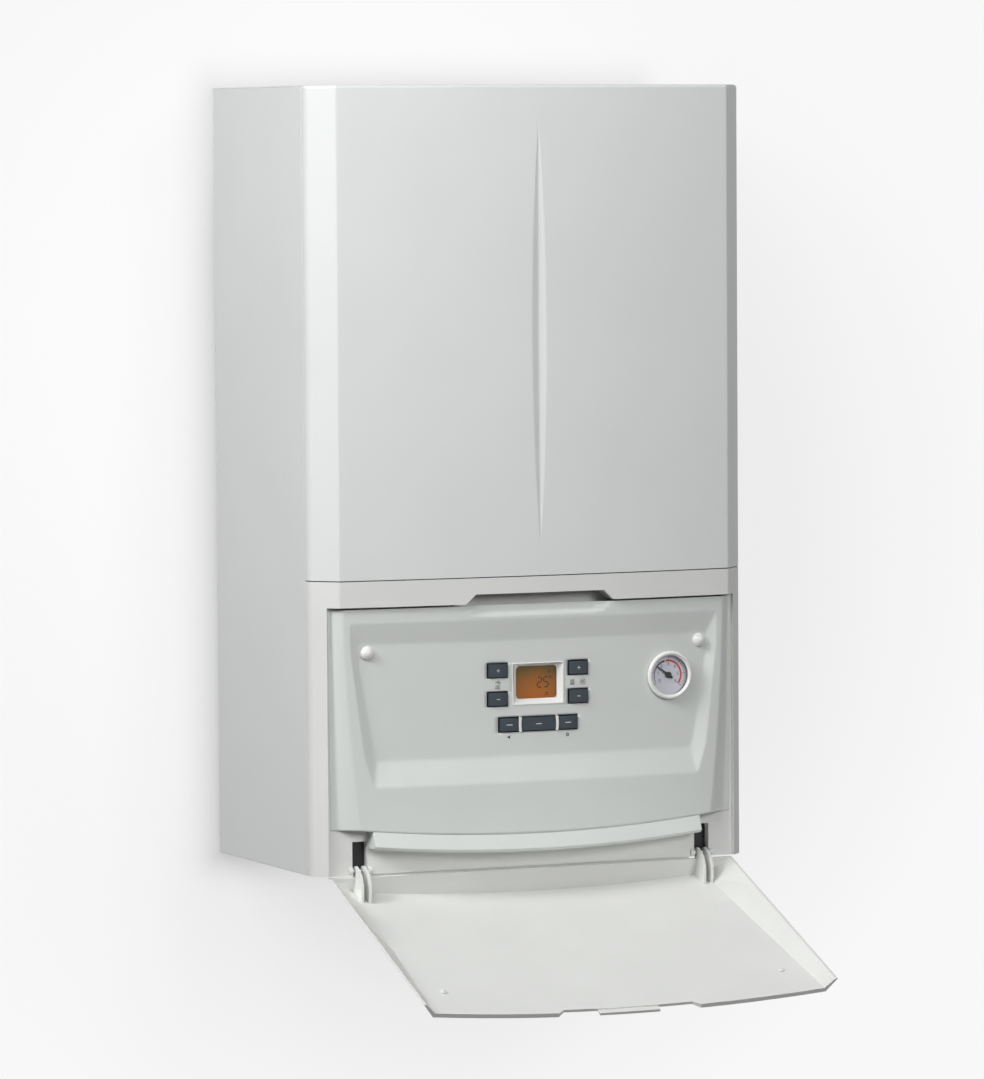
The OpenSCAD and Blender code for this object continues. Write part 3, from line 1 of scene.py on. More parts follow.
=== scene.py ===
"""Wall-hung indoor unit of an air to water heat pump, its lower flap hanging open.

Metres in the row frame: X right seen from the front, Y towards the wall, Z up.
Lengths written in millimetres are multiplied by MM.
"""

import json
import math
from contextlib import contextmanager

import bmesh
import bpy
from mathutils import Matrix, Vector

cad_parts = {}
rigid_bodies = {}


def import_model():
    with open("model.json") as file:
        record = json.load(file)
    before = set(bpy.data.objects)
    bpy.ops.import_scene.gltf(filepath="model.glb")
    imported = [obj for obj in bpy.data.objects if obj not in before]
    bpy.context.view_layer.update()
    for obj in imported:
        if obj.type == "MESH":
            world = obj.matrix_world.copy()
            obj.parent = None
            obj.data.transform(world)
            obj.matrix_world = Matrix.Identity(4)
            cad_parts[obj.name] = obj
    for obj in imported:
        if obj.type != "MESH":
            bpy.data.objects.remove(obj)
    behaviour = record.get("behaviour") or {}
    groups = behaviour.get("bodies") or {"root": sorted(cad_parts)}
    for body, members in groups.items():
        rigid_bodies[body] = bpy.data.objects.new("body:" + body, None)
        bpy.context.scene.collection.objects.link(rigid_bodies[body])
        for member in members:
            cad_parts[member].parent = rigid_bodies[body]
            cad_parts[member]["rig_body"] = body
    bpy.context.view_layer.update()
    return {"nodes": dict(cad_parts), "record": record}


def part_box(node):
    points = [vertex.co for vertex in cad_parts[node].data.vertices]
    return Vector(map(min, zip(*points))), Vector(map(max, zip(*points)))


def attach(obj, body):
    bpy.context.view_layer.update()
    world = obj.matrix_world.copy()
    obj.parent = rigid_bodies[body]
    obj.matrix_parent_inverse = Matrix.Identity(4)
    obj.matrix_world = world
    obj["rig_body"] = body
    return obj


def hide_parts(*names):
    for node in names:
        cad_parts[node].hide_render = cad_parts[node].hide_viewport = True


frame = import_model()

MM = 0.001


def millimetres(*values):
    """A point written in millimetres, in metres."""
    return Vector([value * MM for value in values])


def between(first, second, share):
    """Number at a share of the way from the first to the second."""
    return first + (second - first) * share


# Shader graphs


class Graph:
    """Node tree of a material or a world, with short calls for the nodes used here."""

    def __init__(self, owner):
        owner.use_nodes = True
        self.tree = owner.node_tree

    def node(self, kind, inputs=None, **settings):
        """A new node whose inputs are set to values or linked to sockets."""
        made = self.tree.nodes.new("ShaderNode" + kind)
        for name, value in settings.items():
            setattr(made, name, value)
        for name, value in (inputs or {}).items():
            self.feed(made.inputs[name], value)
        return made

    def feed(self, socket, value):
        """Sets a socket to a value, or links it to another socket."""
        if isinstance(value, bpy.types.NodeSocket):
            self.tree.links.new(value, socket)
        else:
            socket.default_value = value

    def set(self, **inputs):
        """Sets or links inputs of the Principled shader."""
        surface = self.tree.nodes["Principled BSDF"]
        for name, value in inputs.items():
            self.feed(surface.inputs[name.replace("_", " ")], value)

    def place(self):
        """Coordinates fixed to the piece, in metres."""
        return self.node("TexCoord").outputs["Object"]

    def noise(self, scale, detail=2.0, roughness=0.5, vector=None):
        """Grey noise whose blotches are about 1 / scale metres across."""
        inputs = {"Vector": vector or self.place(), "Scale": scale}
        inputs.update({"Detail": detail, "Roughness": roughness})
        return self.node("TexNoise", inputs).outputs["Fac"]

    def cells(self, scale, **settings):
        """Outputs of a pattern of cells about 1 / scale metres across."""
        inputs = {"Vector": self.place(), "Scale": scale}
        return self.node("TexVoronoi", inputs, feature="F1", **settings).outputs

    def maths(self, operation, *values):
        """Result of one operation on numbers or sockets."""
        return self.node("Math", dict(enumerate(values)), operation=operation).outputs[0]

    def vector_maths(self, operation, *values):
        """Node of one operation on vectors or sockets."""
        return self.node("VectorMath", dict(enumerate(values)), operation=operation)

    def span(self, value, low, high, start=0.3, end=0.7):
        """Value mapped from start..end to low..high."""
        inputs = {"Value": value, "From Min": start, "From Max": end, "To Min": low, "To Max": high}
        return self.node("MapRange", inputs).outputs["Result"]

    def blend(self, share, first, second):
        """Colour between first and second."""
        mix = self.node("Mix", data_type="RGBA")
        self.feed(mix.inputs[0], share)
        self.feed(mix.inputs[6], (*first, 1.0))
        self.feed(mix.inputs[7], (*second, 1.0))
        return mix.outputs[2]

    def uneven(self, cloud, colour, low, high):
        """A colour whose level follows a cloud from low to high."""
        return self.blend(self.span(cloud, 0, 1), tinted(colour, low), tinted(colour, high))

    def bump(self, height, depth):
        """Normal that follows a height in millimetres of depth."""
        return self.node("Bump", {"Height": height, "Distance": depth * MM}).outputs["Normal"]


def srgb(red, green, blue):
    """Linear colour of an sRGB colour given from 0 to 255."""
    def linear(level):
        share = level / 255
        return share / 12.92 if share <= 0.04045 else ((share + 0.055) / 1.055) ** 2.4
    return tuple(linear(level) for level in (red, green, blue))


def tinted(colour, factor):
    """A colour made lighter or darker."""
    return tuple(min(channel * factor, 1.0) for channel in colour)


def painted(graph, colour):
    """Powder-coated sheet: faint orange peel over a barely uneven tone."""
    graph.set(
        Base_Color=graph.uneven(graph.noise(9, 3), colour, 0.985, 1.01),
        Roughness=graph.span(graph.noise(60, 2), 0.39, 0.46),
        Normal=graph.bump(graph.noise(420, 2, 0.4), 0.012),
    )


def moulded(graph, colour, roughness=0.45, grain=0.02, cell=1400):
    """Injection-moulded plastic with a fine spark-eroded grain."""
    graph.set(
        Base_Color=graph.uneven(graph.noise(14, 3), colour, 0.98, 1.015),
        Roughness=graph.span(graph.noise(120, 2), roughness - 0.04, roughness + 0.05),
        Normal=graph.bump(graph.noise(cell, 1, 0.6), grain),
    )


def glossy_plastic(graph, colour, roughness=0.22):
    """Smooth moulded plastic with a faint flow unevenness."""
    graph.set(
        Base_Color=graph.uneven(graph.noise(40, 2), colour, 0.97, 1.02),
        Roughness=graph.span(graph.noise(90, 2), roughness - 0.03, roughness + 0.06),
        Normal=graph.bump(graph.noise(200, 1), 0.006),
        Coat_Weight=0.15,
    )


def metal(graph, colour, roughness, dull=0.15, brushed=None):
    """Bare metal with blotchy roughness, brushed along one axis where asked."""
    place = graph.place()
    if brushed:
        place = graph.node("Mapping", {"Vector": place, "Scale": brushed}).outputs["Vector"]
    streaks = graph.noise(300, 3, 0.6, place)
    graph.set(
        Base_Color=graph.uneven(graph.noise(35, 4, 0.6), colour, 1 - dull, 1.05),
        Metallic=1.0,
        Roughness=graph.span(streaks, roughness - 0.08, roughness + 0.1),
        Normal=graph.bump(streaks, 0.01),
    )


def galvanised_sheet(graph):
    """Zinc-coated sheet with its crystal spangle."""
    crystals = graph.cells(110)["Color"]
    tone = graph.node("SeparateColor", {"Color": crystals}).outputs["Red"]
    graph.set(
        Base_Color=graph.blend(tone, (0.50, 0.52, 0.54), (0.66, 0.68, 0.69)),
        Metallic=0.85,
        Roughness=graph.span(tone, 0.36, 0.52, 0, 1),
        Normal=graph.bump(graph.noise(700, 2), 0.008),
    )


def cast_metal(graph, colour, roughness=0.6):
    """Painted or rough casting with a sandy skin."""
    skin = graph.noise(900, 3, 0.7)
    graph.set(
        Base_Color=graph.uneven(skin, colour, 0.85, 1.1),
        Roughness=graph.span(skin, roughness - 0.08, roughness + 0.1),
        Normal=graph.bump(skin, 0.09),
    )


def soft_foam(graph, colour):
    """Closed-cell foam."""
    bubbles = graph.cells(900)["Distance"]
    share = graph.span(bubbles, 0, 1, 0, 0.8)
    graph.set(
        Base_Color=graph.blend(share, tinted(colour, 1.3), tinted(colour, 0.7)),
        Roughness=0.93,
        Normal=graph.bump(bubbles, 0.15),
    )


def circuit(graph):
    """Solder-masked board with a hint of its tracks."""
    tracks = graph.cells(260, distance="MANHATTAN")["Distance"]
    share = graph.span(tracks, 0, 1, 0.35, 0.4)
    graph.set(
        Base_Color=graph.blend(share, (0.010, 0.075, 0.028), (0.018, 0.13, 0.045)),
        Roughness=0.35,
        Normal=graph.bump(tracks, 0.02),
    )


def clear_plastic(graph, colour):
    """Clear or faintly tinted moulded window."""
    graph.set(
        Base_Color=(*colour, 1.0),
        Roughness=graph.span(graph.noise(80, 2), 0.02, 0.06),
        Transmission_Weight=1.0,
        IOR=1.3,
        Alpha=0.10,
    )


def display_glow(graph, box):
    """Lit display: bright orange low in the middle, brown towards its top and sides."""
    low, high = box
    place = graph.node("SeparateXYZ", {"Vector": graph.place()}).outputs
    across = graph.span(place["X"], 0, 1, low.x, high.x)
    up = graph.span(place["Z"], 0, 1, low.z, high.z)
    off_centre = graph.maths("SUBTRACT", across, 0.5)
    side_fall = graph.maths("MULTIPLY", off_centre, off_centre)
    height_fall = graph.maths("MULTIPLY", up, up)
    fall = graph.maths("MULTIPLY_ADD", side_fall, 1.6, height_fall)
    cloudy = graph.maths("MULTIPLY_ADD", graph.noise(90, 2), 0.12, fall)
    glow = graph.blend(graph.span(cloudy, 0, 1, 0.1, 1.0), srgb(158, 92, 22), srgb(88, 70, 28))
    graph.set(
        Base_Color=glow,
        Roughness=0.4,
        Emission_Color=glow,
        Emission_Strength=0.08,
    )


# Each material's kind, then its colour and the other values that its kind takes
FINISHES = {
    "painted_steel": (painted, srgb(230, 233, 231)),
    "galvanised": (galvanised_sheet,),
    "white_moulding": (moulded, srgb(230, 231, 228), 0.42, 0.012),
    "grey_moulding": (moulded, srgb(220, 224, 221), 0.46, 0.016),
    "gloss_white": (glossy_plastic, srgb(240, 240, 238)),
    "key_plastic": (glossy_plastic, srgb(49, 60, 69), 0.36),
    "amber_window": (clear_plastic, (0.95, 0.70, 0.35)),
    "amber_display": (display_glow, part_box("lcd_module")),
    "clear_window": (clear_plastic, (0.98, 0.98, 0.98)),
    "dial_face": (moulded, srgb(205, 205, 215), 0.5, 0.004),
    "black_plastic": (glossy_plastic, (0.012, 0.012, 0.014), 0.3),
    "circuit_board": (circuit,),
    "plain_steel": (metal, (0.55, 0.55, 0.56), 0.32),
    "stainless": (metal, (0.62, 0.62, 0.62), 0.3, 0.15, (1.0, 1.0, 12.0)),
    "copper": (metal, (0.78, 0.36, 0.20), 0.3, 0.3),
    "brass": (metal, (0.72, 0.53, 0.24), 0.34),
    "cast_housing": (cast_metal, (0.05, 0.06, 0.06)),
    "motor_can": (cast_metal, (0.09, 0.03, 0.03), 0.5),
    "red_paint": (painted, (0.35, 0.025, 0.02)),
    "red_plastic": (glossy_plastic, (0.42, 0.02, 0.02)),
    "membrane_rubber": (moulded, (0.02, 0.02, 0.02), 0.75, 0.03, 800),
    "foam": (soft_foam, (0.03, 0.03, 0.033)),
    "grey_plastic": (moulded, (0.16, 0.165, 0.17), 0.5),
    "ivory_plastic": (moulded, (0.62, 0.58, 0.47)),
    "print_dark": (moulded, srgb(52, 52, 56), 0.6, 0.002),
    "print_grey": (moulded, srgb(140, 143, 145), 0.6, 0.002),
    "print_light": (moulded, srgb(214, 222, 230), 0.55, 0.002),
    "print_red": (moulded, srgb(190, 52, 40), 0.5, 0.002),
    "display_ink": (moulded, srgb(36, 26, 18), 0.5, 0.002),
}


def material(name):
    """Material of one of the finishes."""
    finish, *values = FINISHES[name]
    made = bpy.data.materials.new(name)
    finish(Graph(made), *values)
    return made


materials = {name: material(name) for name in FINISHES}
node_slots = {entry["node"]: entry["material_slot"] for entry in frame["record"]["subparts"]}
button_nodes = [node for node in frame["nodes"] if node.startswith("button_") and node != "button_dividers"]


# Pieces made from mesh code


def finished(mesh, name, body, slot, stands_for=(), smooth=True):
    """Object of a mesh, with its material, on its body."""
    piece = bpy.data.objects.new(name, mesh)
    bpy.context.scene.collection.objects.link(piece)
    mesh.materials.append(materials[slot])
    if smooth:
        mesh.shade_smooth()
    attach(piece, body)
    if stands_for:
        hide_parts(*stands_for)
    return piece


@contextmanager
def reshaped(mesh):
    """The mesh opened for edits, which are written back to it at the end."""
    shape = bmesh.new()
    shape.from_mesh(mesh)
    yield shape
    shape.to_mesh(mesh)
    shape.free()


def mesh_of(vertices, faces, name):
    """Mesh from points and faces, with its faces turned outwards."""
    mesh = bpy.data.meshes.new(name)
    mesh.from_pydata([tuple(v) for v in vertices], [], faces)
    with reshaped(mesh) as shape:
        bmesh.ops.recalc_face_normals(shape, faces=shape.faces)
    return mesh


def grid_faces(rows, count):
    """Four-sided faces between open rows of points."""
    return [
        (j * count + i, j * count + i + 1, (j + 1) * count + i + 1, (j + 1) * count + i)
        for j in range(rows - 1)
        for i in range(count - 1)
    ]


def tube_faces(rows, count, first=0):
    """Four-sided faces between rows of points that each close on themselves."""
    faces = []
    for j in range(rows - 1):
        here = first + j * count
        there = here + count
        for i in range(count):
            following = (i + 1) % count
            faces.append((here + i, here + following, there + following, there + i))
    return faces


def thickened(piece, wall):
    """Gives a skin its wall, on its inner side."""
    solidify = piece.modifiers.new("wall", "SOLIDIFY")
    solidify.thickness = wall * MM
    solidify.offset = -1


def rounded_edges(piece, width, segments=3, angle=30):
    """Rounds the hard edges of a piece and keeps its flats flat in the shading."""
    bevel = piece.modifiers.new("edges", "BEVEL")
    bevel.width = width * MM
    bevel.segments = segments
    bevel.limit_method = "ANGLE"
    bevel.angle_limit = math.radians(angle)
    bevel.miter_outer = "MITER_ARC"
    normals = piece.modifiers.new("flats", "WEIGHTED_NORMAL")
    normals.weight = 60
    normals.keep_sharp = False


# Points closer than this are one point, in metres, and faces that turn less than this are one flat
WELD = 2e-6
COPLANAR = math.radians(0.25)


def softened(node, width):
    """Copy of a CAD node with its hard edges rounded, standing for that node."""
    source = frame["nodes"][node]
    faces = [list(polygon.vertices) for polygon in source.data.polygons]
    mesh = mesh_of([v.co for v in source.data.vertices], faces, node)
    with reshaped(mesh) as shape:
        bmesh.ops.remove_doubles(shape, verts=shape.verts, dist=WELD)
        bmesh.ops.dissolve_limit(shape, angle_limit=COPLANAR, verts=shape.verts, edges=shape.edges)
        bmesh.ops.recalc_face_normals(shape, faces=shape.faces)
    piece = finished(mesh, node + "_shape", source["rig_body"], node_slots[node], [node])
    rounded_edges(piece, width)


# Front: the same plan outline as the solids, made smooth

cover_low, cover_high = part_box("front_cover")
HALF_W = cover_high.x / MM
CASING_H = cover_high.z / MM
COVER_Z = cover_low.z / MM
SIDE_END = -cover_high.y / MM
CASING_D = 252
FRONT_BOW = 10
CHAMFER = 22
CHAMFER_ANGLE = math.radians(45)
BEND_R = 12
EDGE_R = 4
FACE_HALF = HALF_W - CHAMFER
BOW_R = (FACE_HALF**2 + FRONT_BOW**2) / (2 * FRONT_BOW)


def bulge(x):
    """How far the front swells forward at x."""
    return math.sqrt(BOW_R**2 - x**2) - (BOW_R - FRONT_BOW)


def front_y(x, back=0.0):
    """Y of a surface that lies back behind the swelling front."""
    return back - CASING_D - bulge(x)


def fillet(before, corner, after, radius, count):
    """Points of the arc that rounds a corner."""
    to_start = (before - corner).normalized()
    to_end = (after - corner).normalized()
    half = to_start.angle(to_end) / 2
    middle = corner + (to_start + to_end).normalized() * radius / math.sin(half)
    start = corner + to_start * radius / math.tan(half) - middle
    end = corner + to_end * radius / math.tan(half) - middle
    sweep = math.pi - 2 * half
    points = []
    for i in range(count + 1):
        from_start = start * math.sin(sweep * (1 - i / count))
        from_end = end * math.sin(sweep * i / count)
        points.append(middle + (from_start + from_end) / math.sin(sweep))
    return points


# Crease: its ends, width and depth, and its cross-section in half widths from its bottom line

CREASE_Z0 = 296
CREASE_Z1 = 697
CREASE_W = 14
CREASE_DEPTH = 2.2
CREASE_SOFT = 0.14
CREASE_ROWS = (-1.5, -1.25, -1.14, -1.05, -0.95, -0.86, -0.7, -0.5, -0.3, -0.14, -0.07)
CREASE_STEPS = 56
LEAST_REACH = 0.6


def crease_depth(z):
    """Depth of the crease's bottom line at a height."""
    half = (CREASE_Z1 - CREASE_Z0) / 2
    off = z - (CREASE_Z0 + half)
    radius = (half**2 + CREASE_DEPTH**2) / (2 * CREASE_DEPTH)
    return max(math.sqrt(radius**2 - off**2) - (radius - CREASE_DEPTH), 0.0) if abs(off) < half else 0.0


def crease_share(s):
    """Share of the crease's depth at s half widths from its bottom line, with softened bends."""
    s = abs(s)
    if s >= 1 + CREASE_SOFT:
        return 0.0
    if s > 1 - CREASE_SOFT:
        return (1 + CREASE_SOFT - s) ** 2 / (4 * CREASE_SOFT)
    if s < CREASE_SOFT:
        return 1 - CREASE_SOFT / 2 - s * s / (2 * CREASE_SOFT)
    return 1 - s


# Upper cover: radii, wall and the number of steps in each bend, flat and edge
TOP_R = 3
TOP_STEPS = 5
BEND_STEPS = 8
EDGE_STEPS = 5
FLAT_STEPS = 26
LEAST_BEND_R = 1
LEAST_EDGE_R = 0.8
COVER_WALL = 2
COVER_EDGE = 0.5


def cover_ring(z, inset):
    """Plan outline of the upper cover at a height, from its right rear corner to its left one."""
    aside = inset * math.tan(CHAMFER_ANGLE / 2)
    side_x = HALF_W - inset
    bend = Vector((side_x, aside - (CASING_D - CHAMFER)))
    crisp = Vector((FACE_HALF - aside, inset - CASING_D))
    first_x = crisp.x * (1 - 1 / FLAT_STEPS)
    first = Vector((first_x, front_y(first_x, inset)))
    half = [Vector((side_x, -SIDE_END))]
    half += fillet(half[0], bend, crisp, max(BEND_R - inset, LEAST_BEND_R), BEND_STEPS)
    half += fillet(bend, crisp, first, max(EDGE_R - inset, LEAST_EDGE_R), EDGE_STEPS)
    depth = crease_depth(z)
    reach = max(CREASE_W / 2 * depth / CREASE_DEPTH, LEAST_REACH)
    inner = -CREASE_ROWS[0] * reach
    flats = [first_x + (inner - first_x) * i / FLAT_STEPS for i in range(FLAT_STEPS)]
    half += [Vector((x, front_y(x, inset))) for x in flats]
    for s in CREASE_ROWS:
        half.append(Vector((-s * reach, front_y(s * reach, inset) + depth * crease_share(s))))
    middle = Vector((0, front_y(0, inset) + depth * crease_share(0)))
    return half + [middle] + [Vector((-p.x, p.y)) for p in reversed(half)]


def upper_cover():
    """Pressed upper cover with its crease, rounded top edge and open back."""
    levels = [(COVER_Z, 0), (between(COVER_Z, CREASE_Z0, 0.5), 0)]
    for i in range(CREASE_STEPS + 1):
        levels.append((CREASE_Z0 + (CREASE_Z1 - CREASE_Z0) * i / CREASE_STEPS, 0))
    for i in range(TOP_STEPS + 1):
        turn = math.radians(90) * i / TOP_STEPS
        levels.append((CASING_H - TOP_R + TOP_R * math.sin(turn), TOP_R * (1 - math.cos(turn))))
    rings = [[millimetres(p.x, p.y, z) for p in cover_ring(z, inset)] for z, inset in levels]
    count = len(rings[0])
    faces = grid_faces(len(rings), count)
    faces.append(tuple((len(rings) - 1) * count + i for i in range(count)))
    mesh = mesh_of([point for ring in rings for point in ring], faces, "upper_cover")
    body = frame["nodes"]["front_cover"]["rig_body"]
    piece = finished(mesh, "upper_cover", body, "painted_steel", ["front_cover"])
    thickened(piece, COVER_WALL)
    rounded_edges(piece, COVER_EDGE, segments=2, angle=50)


# Marks: flat shapes laid on a surface

# How far the back of a mark lies in its surface, and how far flat ink stands out
SUNK = 0.05
INK = 0.06


def laid(name, outlines, spot, depth, slot, body="casing", stands_for=()):
    """Piece of thin prisms over flat outlines in millimetres, facing forward at a spot in metres."""
    place = Matrix.Translation(spot)
    vertices = []
    faces = []
    for outline in outlines:
        first = len(vertices)
        count = len(outline)
        vertices += [place @ millimetres(x, y, z) for y in (-depth, SUNK) for x, z in outline]
        faces.append(tuple(first + i for i in range(count)))
        faces.append(tuple(first + count + i for i in reversed(range(count))))
        faces += tube_faces(2, count, first)
    finished(mesh_of(vertices, faces, name), name, body, slot, stands_for, smooth=False)


def bar(x0, z0, x1, z1, width):
    """Outline of a straight stroke."""
    along = Vector((x1 - x0, z1 - z0)).normalized() * width / 2
    side = Vector((-along.y, along.x))
    start = Vector((x0, z0))
    end = Vector((x1, z1))
    return [start - side, end - side, end + side, start + side]


def polar(radius, degrees):
    """Point at an angle."""
    return Vector((radius * math.cos(math.radians(degrees)), radius * math.sin(math.radians(degrees))))


def arc_band(radius_in, radius_out, start, end, count, taper=1.0):
    """Outline of a curved band from one angle to another, thinner at its start by the taper."""
    outer = []
    inner = []
    for i in range(count + 1):
        share = i / count
        angle = start + (end - start) * share
        width = (radius_out - radius_in) * (taper + (1 - taper) * share)
        outer.append(polar(radius_out, angle))
        inner.append(polar(radius_out - width, angle))
    return outer + inner[::-1]


def ring_mark(radius_in, radius_out):
    """Outline of a ring, open by a hair on its right."""
    return arc_band(radius_in, radius_out, 0, 350, 16)


def seven_segments(digit, width, height, stroke):
    """Bars of one seven-segment digit with its lower left corner at the origin."""
    gap = stroke * 0.6
    half = height / 2
    segments = {
        "top": (gap, height, width - gap, height),
        "middle": (gap, half, width - gap, half),
        "foot": (gap, 0, width - gap, 0),
        "upper_left": (0, half + gap, 0, height - gap),
        "upper_right": (width, half + gap, width, height - gap),
        "lower_left": (0, gap, 0, half - gap),
        "lower_right": (width, gap, width, half - gap),
    }
    lit = {
        2: ("top", "upper_right", "middle", "lower_left", "foot"),
        5: ("top", "upper_left", "middle", "lower_right", "foot"),
    }
    return [bar(*segments[segment], stroke) for segment in lit[digit]]


def moved(outlines, x, z):
    """Outlines shifted sideways and up."""
    return [[Vector((p[0] + x, p[1] + z)) for p in outline] for outline in outlines]


def display_marks():
    """Reading of the display: two digits, a degree ring and small plain marks."""
    low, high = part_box("lcd_module")
    centre = (low + high) / 2
    digit_size = (4.4, 9.4, 1.1)
    marks = moved(seven_segments(2, *digit_size), 1.6, -4.6)
    marks += moved(seven_segments(5, *digit_size), 8.2, -4.6)
    marks += moved([arc_band(0.7, 1.2, 0, 350, 14)], 14.6, 4.6)
    marks += moved([bar(0, 0, 3, 0, 0.7), bar(0, -1.8, 3, -1.8, 0.7)], 9.5, -10)
    marks += moved([bar(0, -1, 0, 1.6, 0.9)], 13.5, 9.5)
    laid("display_marks", marks, (centre.x, low.y, centre.z), INK, "display_ink")


# Signs of the four corners of a rectangle, then the window's pane and the opening that frames it
QUARTERS = ((1, 1), (-1, 1), (-1, -1), (1, -1))
PANE_R = 1.5
PANE_AIR = 0.15
OPENING_X = 20.5
OPENING_Z = 15.0
OPENING_R = 2.6
CORNER_DEPTH = 0.5
CORNER_OVERLAP = 0.6


def rounded_rectangle(half_x, half_z, radius, count=6):
    """Outline of a rectangle with round corners."""
    corners = [Vector((a * half_x, b * half_z)) for a, b in QUARTERS]
    outline = []
    for i in range(4):
        outline += fillet(corners[i - 1], corners[i], corners[(i + 1) % 4], radius, count)
    return outline


def display_window():
    """Clear window over the display, and the round corners of its opening."""
    low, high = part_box("lcd_window")
    centre = (low + high) / 2
    half_x = (high.x - low.x) / 2 / MM
    half_z = (high.z - low.z) / 2 / MM
    thick = (high.y - low.y) / MM - PANE_AIR
    pane = [rounded_rectangle(half_x, half_z, PANE_R)]
    spot = (centre.x, high.y - PANE_AIR * MM, centre.z)
    laid("display_window", pane, spot, thick, "amber_window", stands_for=["lcd_window"])
    fills = []
    for a, b in QUARTERS:
        corner = Vector((a * OPENING_X, b * OPENING_Z))
        before = Vector((a * OPENING_X, 0))
        after = Vector((0, b * OPENING_Z))
        beyond = corner + Vector((a * CORNER_OVERLAP, b * CORNER_OVERLAP))
        fills.append(fillet(before, corner, after, OPENING_R, 8) + [beyond])
    laid("window_corners", fills, (centre.x, low.y - SUNK * MM, centre.z), CORNER_DEPTH, "gloss_white")


# Panel icons, drawn in millimetres about a point of the panel
ICON_LIFT = 0.1
ICON_DEPTH = 0.16
LOWER_MARKS = 11.5
TAP = [
    bar(-2.4, 2.2, 2.4, 2.2, 0.8),
    bar(2.2, 2.4, 2.2, 0.4, 0.8),
    bar(-0.6, 3.4, 1.4, 3.4, 0.7),
    *[bar(x, -0.2, x, -2.6, 0.6) for x in (-1.6, -0.1, 1.4)],
    bar(-2.6, -3.2, 2.4, -3.2, 0.6),
]
RADIATOR = [
    *[bar(x, -2.6, x, 2.4, 0.8) for x in (-7.4, -5.9, -4.4)],
    bar(-8, -1.8, -3.8, -1.8, 0.5),
]
SUN = [
    ring_mark(0.8, 1.5),
    *[bar(*polar(2.0, 45 * i), *polar(3.2, 45 * i), 0.5) for i in range(8)],
]
BACK_MARK = [[Vector((-1.9, 0)), Vector((1.1, -1.5)), Vector((1.1, 1.5))]]
ACCEPT_MARK = [ring_mark(0.9, 1.6)]


def middle_of(*nodes):
    """Middle of one CAD node's box, or halfway between two of them."""
    middles = [(low + high) / 2 for low, high in map(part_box, nodes)]
    return middles[0] if len(middles) == 1 else (middles[0] + middles[1]) / 2


def panel_icons():
    """Plain pictograms beside the buttons: a tap, a radiator and a sun, and marks below the row."""
    water = middle_of("button_water_up", "button_water_down")
    heating = middle_of("button_heating_up", "button_heating_down")
    back = middle_of("button_reset")
    accept = middle_of("button_menu")
    ink_y = front_y(0, FACE_BACK + DISH_DEPTH) * MM + ICON_LIFT * MM
    below = LOWER_MARKS * MM
    laid("tap_icon", TAP, (water.x, ink_y, water.z), ICON_DEPTH, "print_grey")
    icons = RADIATOR + moved(SUN, 4.6, 0)
    laid("heating_icons", icons, (heating.x, ink_y, heating.z), ICON_DEPTH, "print_grey")
    laid("back_mark", BACK_MARK, (back.x, ink_y, back.z - below), ICON_DEPTH, "print_dark")
    laid("accept_mark", ACCEPT_MARK, (accept.x, ink_y, accept.z - below), ICON_DEPTH, "print_dark")


MINUS = [bar(-1.6, 0, 1.6, 0, 0.6)]
PLUS = MINUS + [bar(0, -1.6, 0, 1.6, 0.6)]
DASH = [bar(-3, 0, 3, 0, 0.7)]
KEY_MARKS = {
    "button_water_up": PLUS,
    "button_water_down": MINUS,
    "button_heating_up": PLUS,
    "button_heating_down": MINUS,
    "button_reset": DASH,
    "button_mode": DASH,
    "button_menu": DASH,
}
KEY_MARK_SINK = 0.02
KEY_MARK_DEPTH = 0.08


def key_marks():
    """Plus and minus on the side buttons, plain dashes on the bottom row."""
    for node, drawing in KEY_MARKS.items():
        low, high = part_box(node)
        centre = (low + high) / 2
        spot = (centre.x, low.y + KEY_MARK_SINK * MM, centre.z)
        body = frame["nodes"][node]["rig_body"]
        laid(node + "_mark", drawing, spot, KEY_MARK_DEPTH, "print_light", body)


# Pressure gauge

# Dial: angle of its zero and of its whole sweep, in degrees, and its last reading
DIAL_ZERO = 213
DIAL_SPAN = 251
DIAL_TOP = 6
# Arcs: reading at which black gives way to red, the radii, and how thin the black one starts
RED_FROM = 2.6
RED_GAP = 0.1
BAND = (12.6, 14.4)
BLACK_TAPER = 0.15
# Ticks: inner radius and width at whole readings and between them
WHOLE_TICK = (15.1, 0.5)
PART_TICK = (15.9, 0.25)
TICKS_PER_UNIT = 5
TICK_OUTER_R = 17.4
NUMBER_R = 10.2
NUMBER_SIZE = 4.6


def dial_angle(value):
    """Angle of a reading on the dial, in degrees from the X axis."""
    return DIAL_ZERO - DIAL_SPAN * value / DIAL_TOP


def lathe(profile, centre, name, count=96):
    """Closed ring from its profile of radius and depth in millimetres, turned about the Y axis."""
    vertices = []
    for i in range(count):
        turn = math.radians(360) * i / count
        vertices += [centre + millimetres(r * math.cos(turn), y, r * math.sin(turn)) for r, y in profile]
    faces = [tuple(v % len(vertices) for v in face) for face in tube_faces(count + 1, len(profile))]
    return mesh_of(vertices, faces, name)


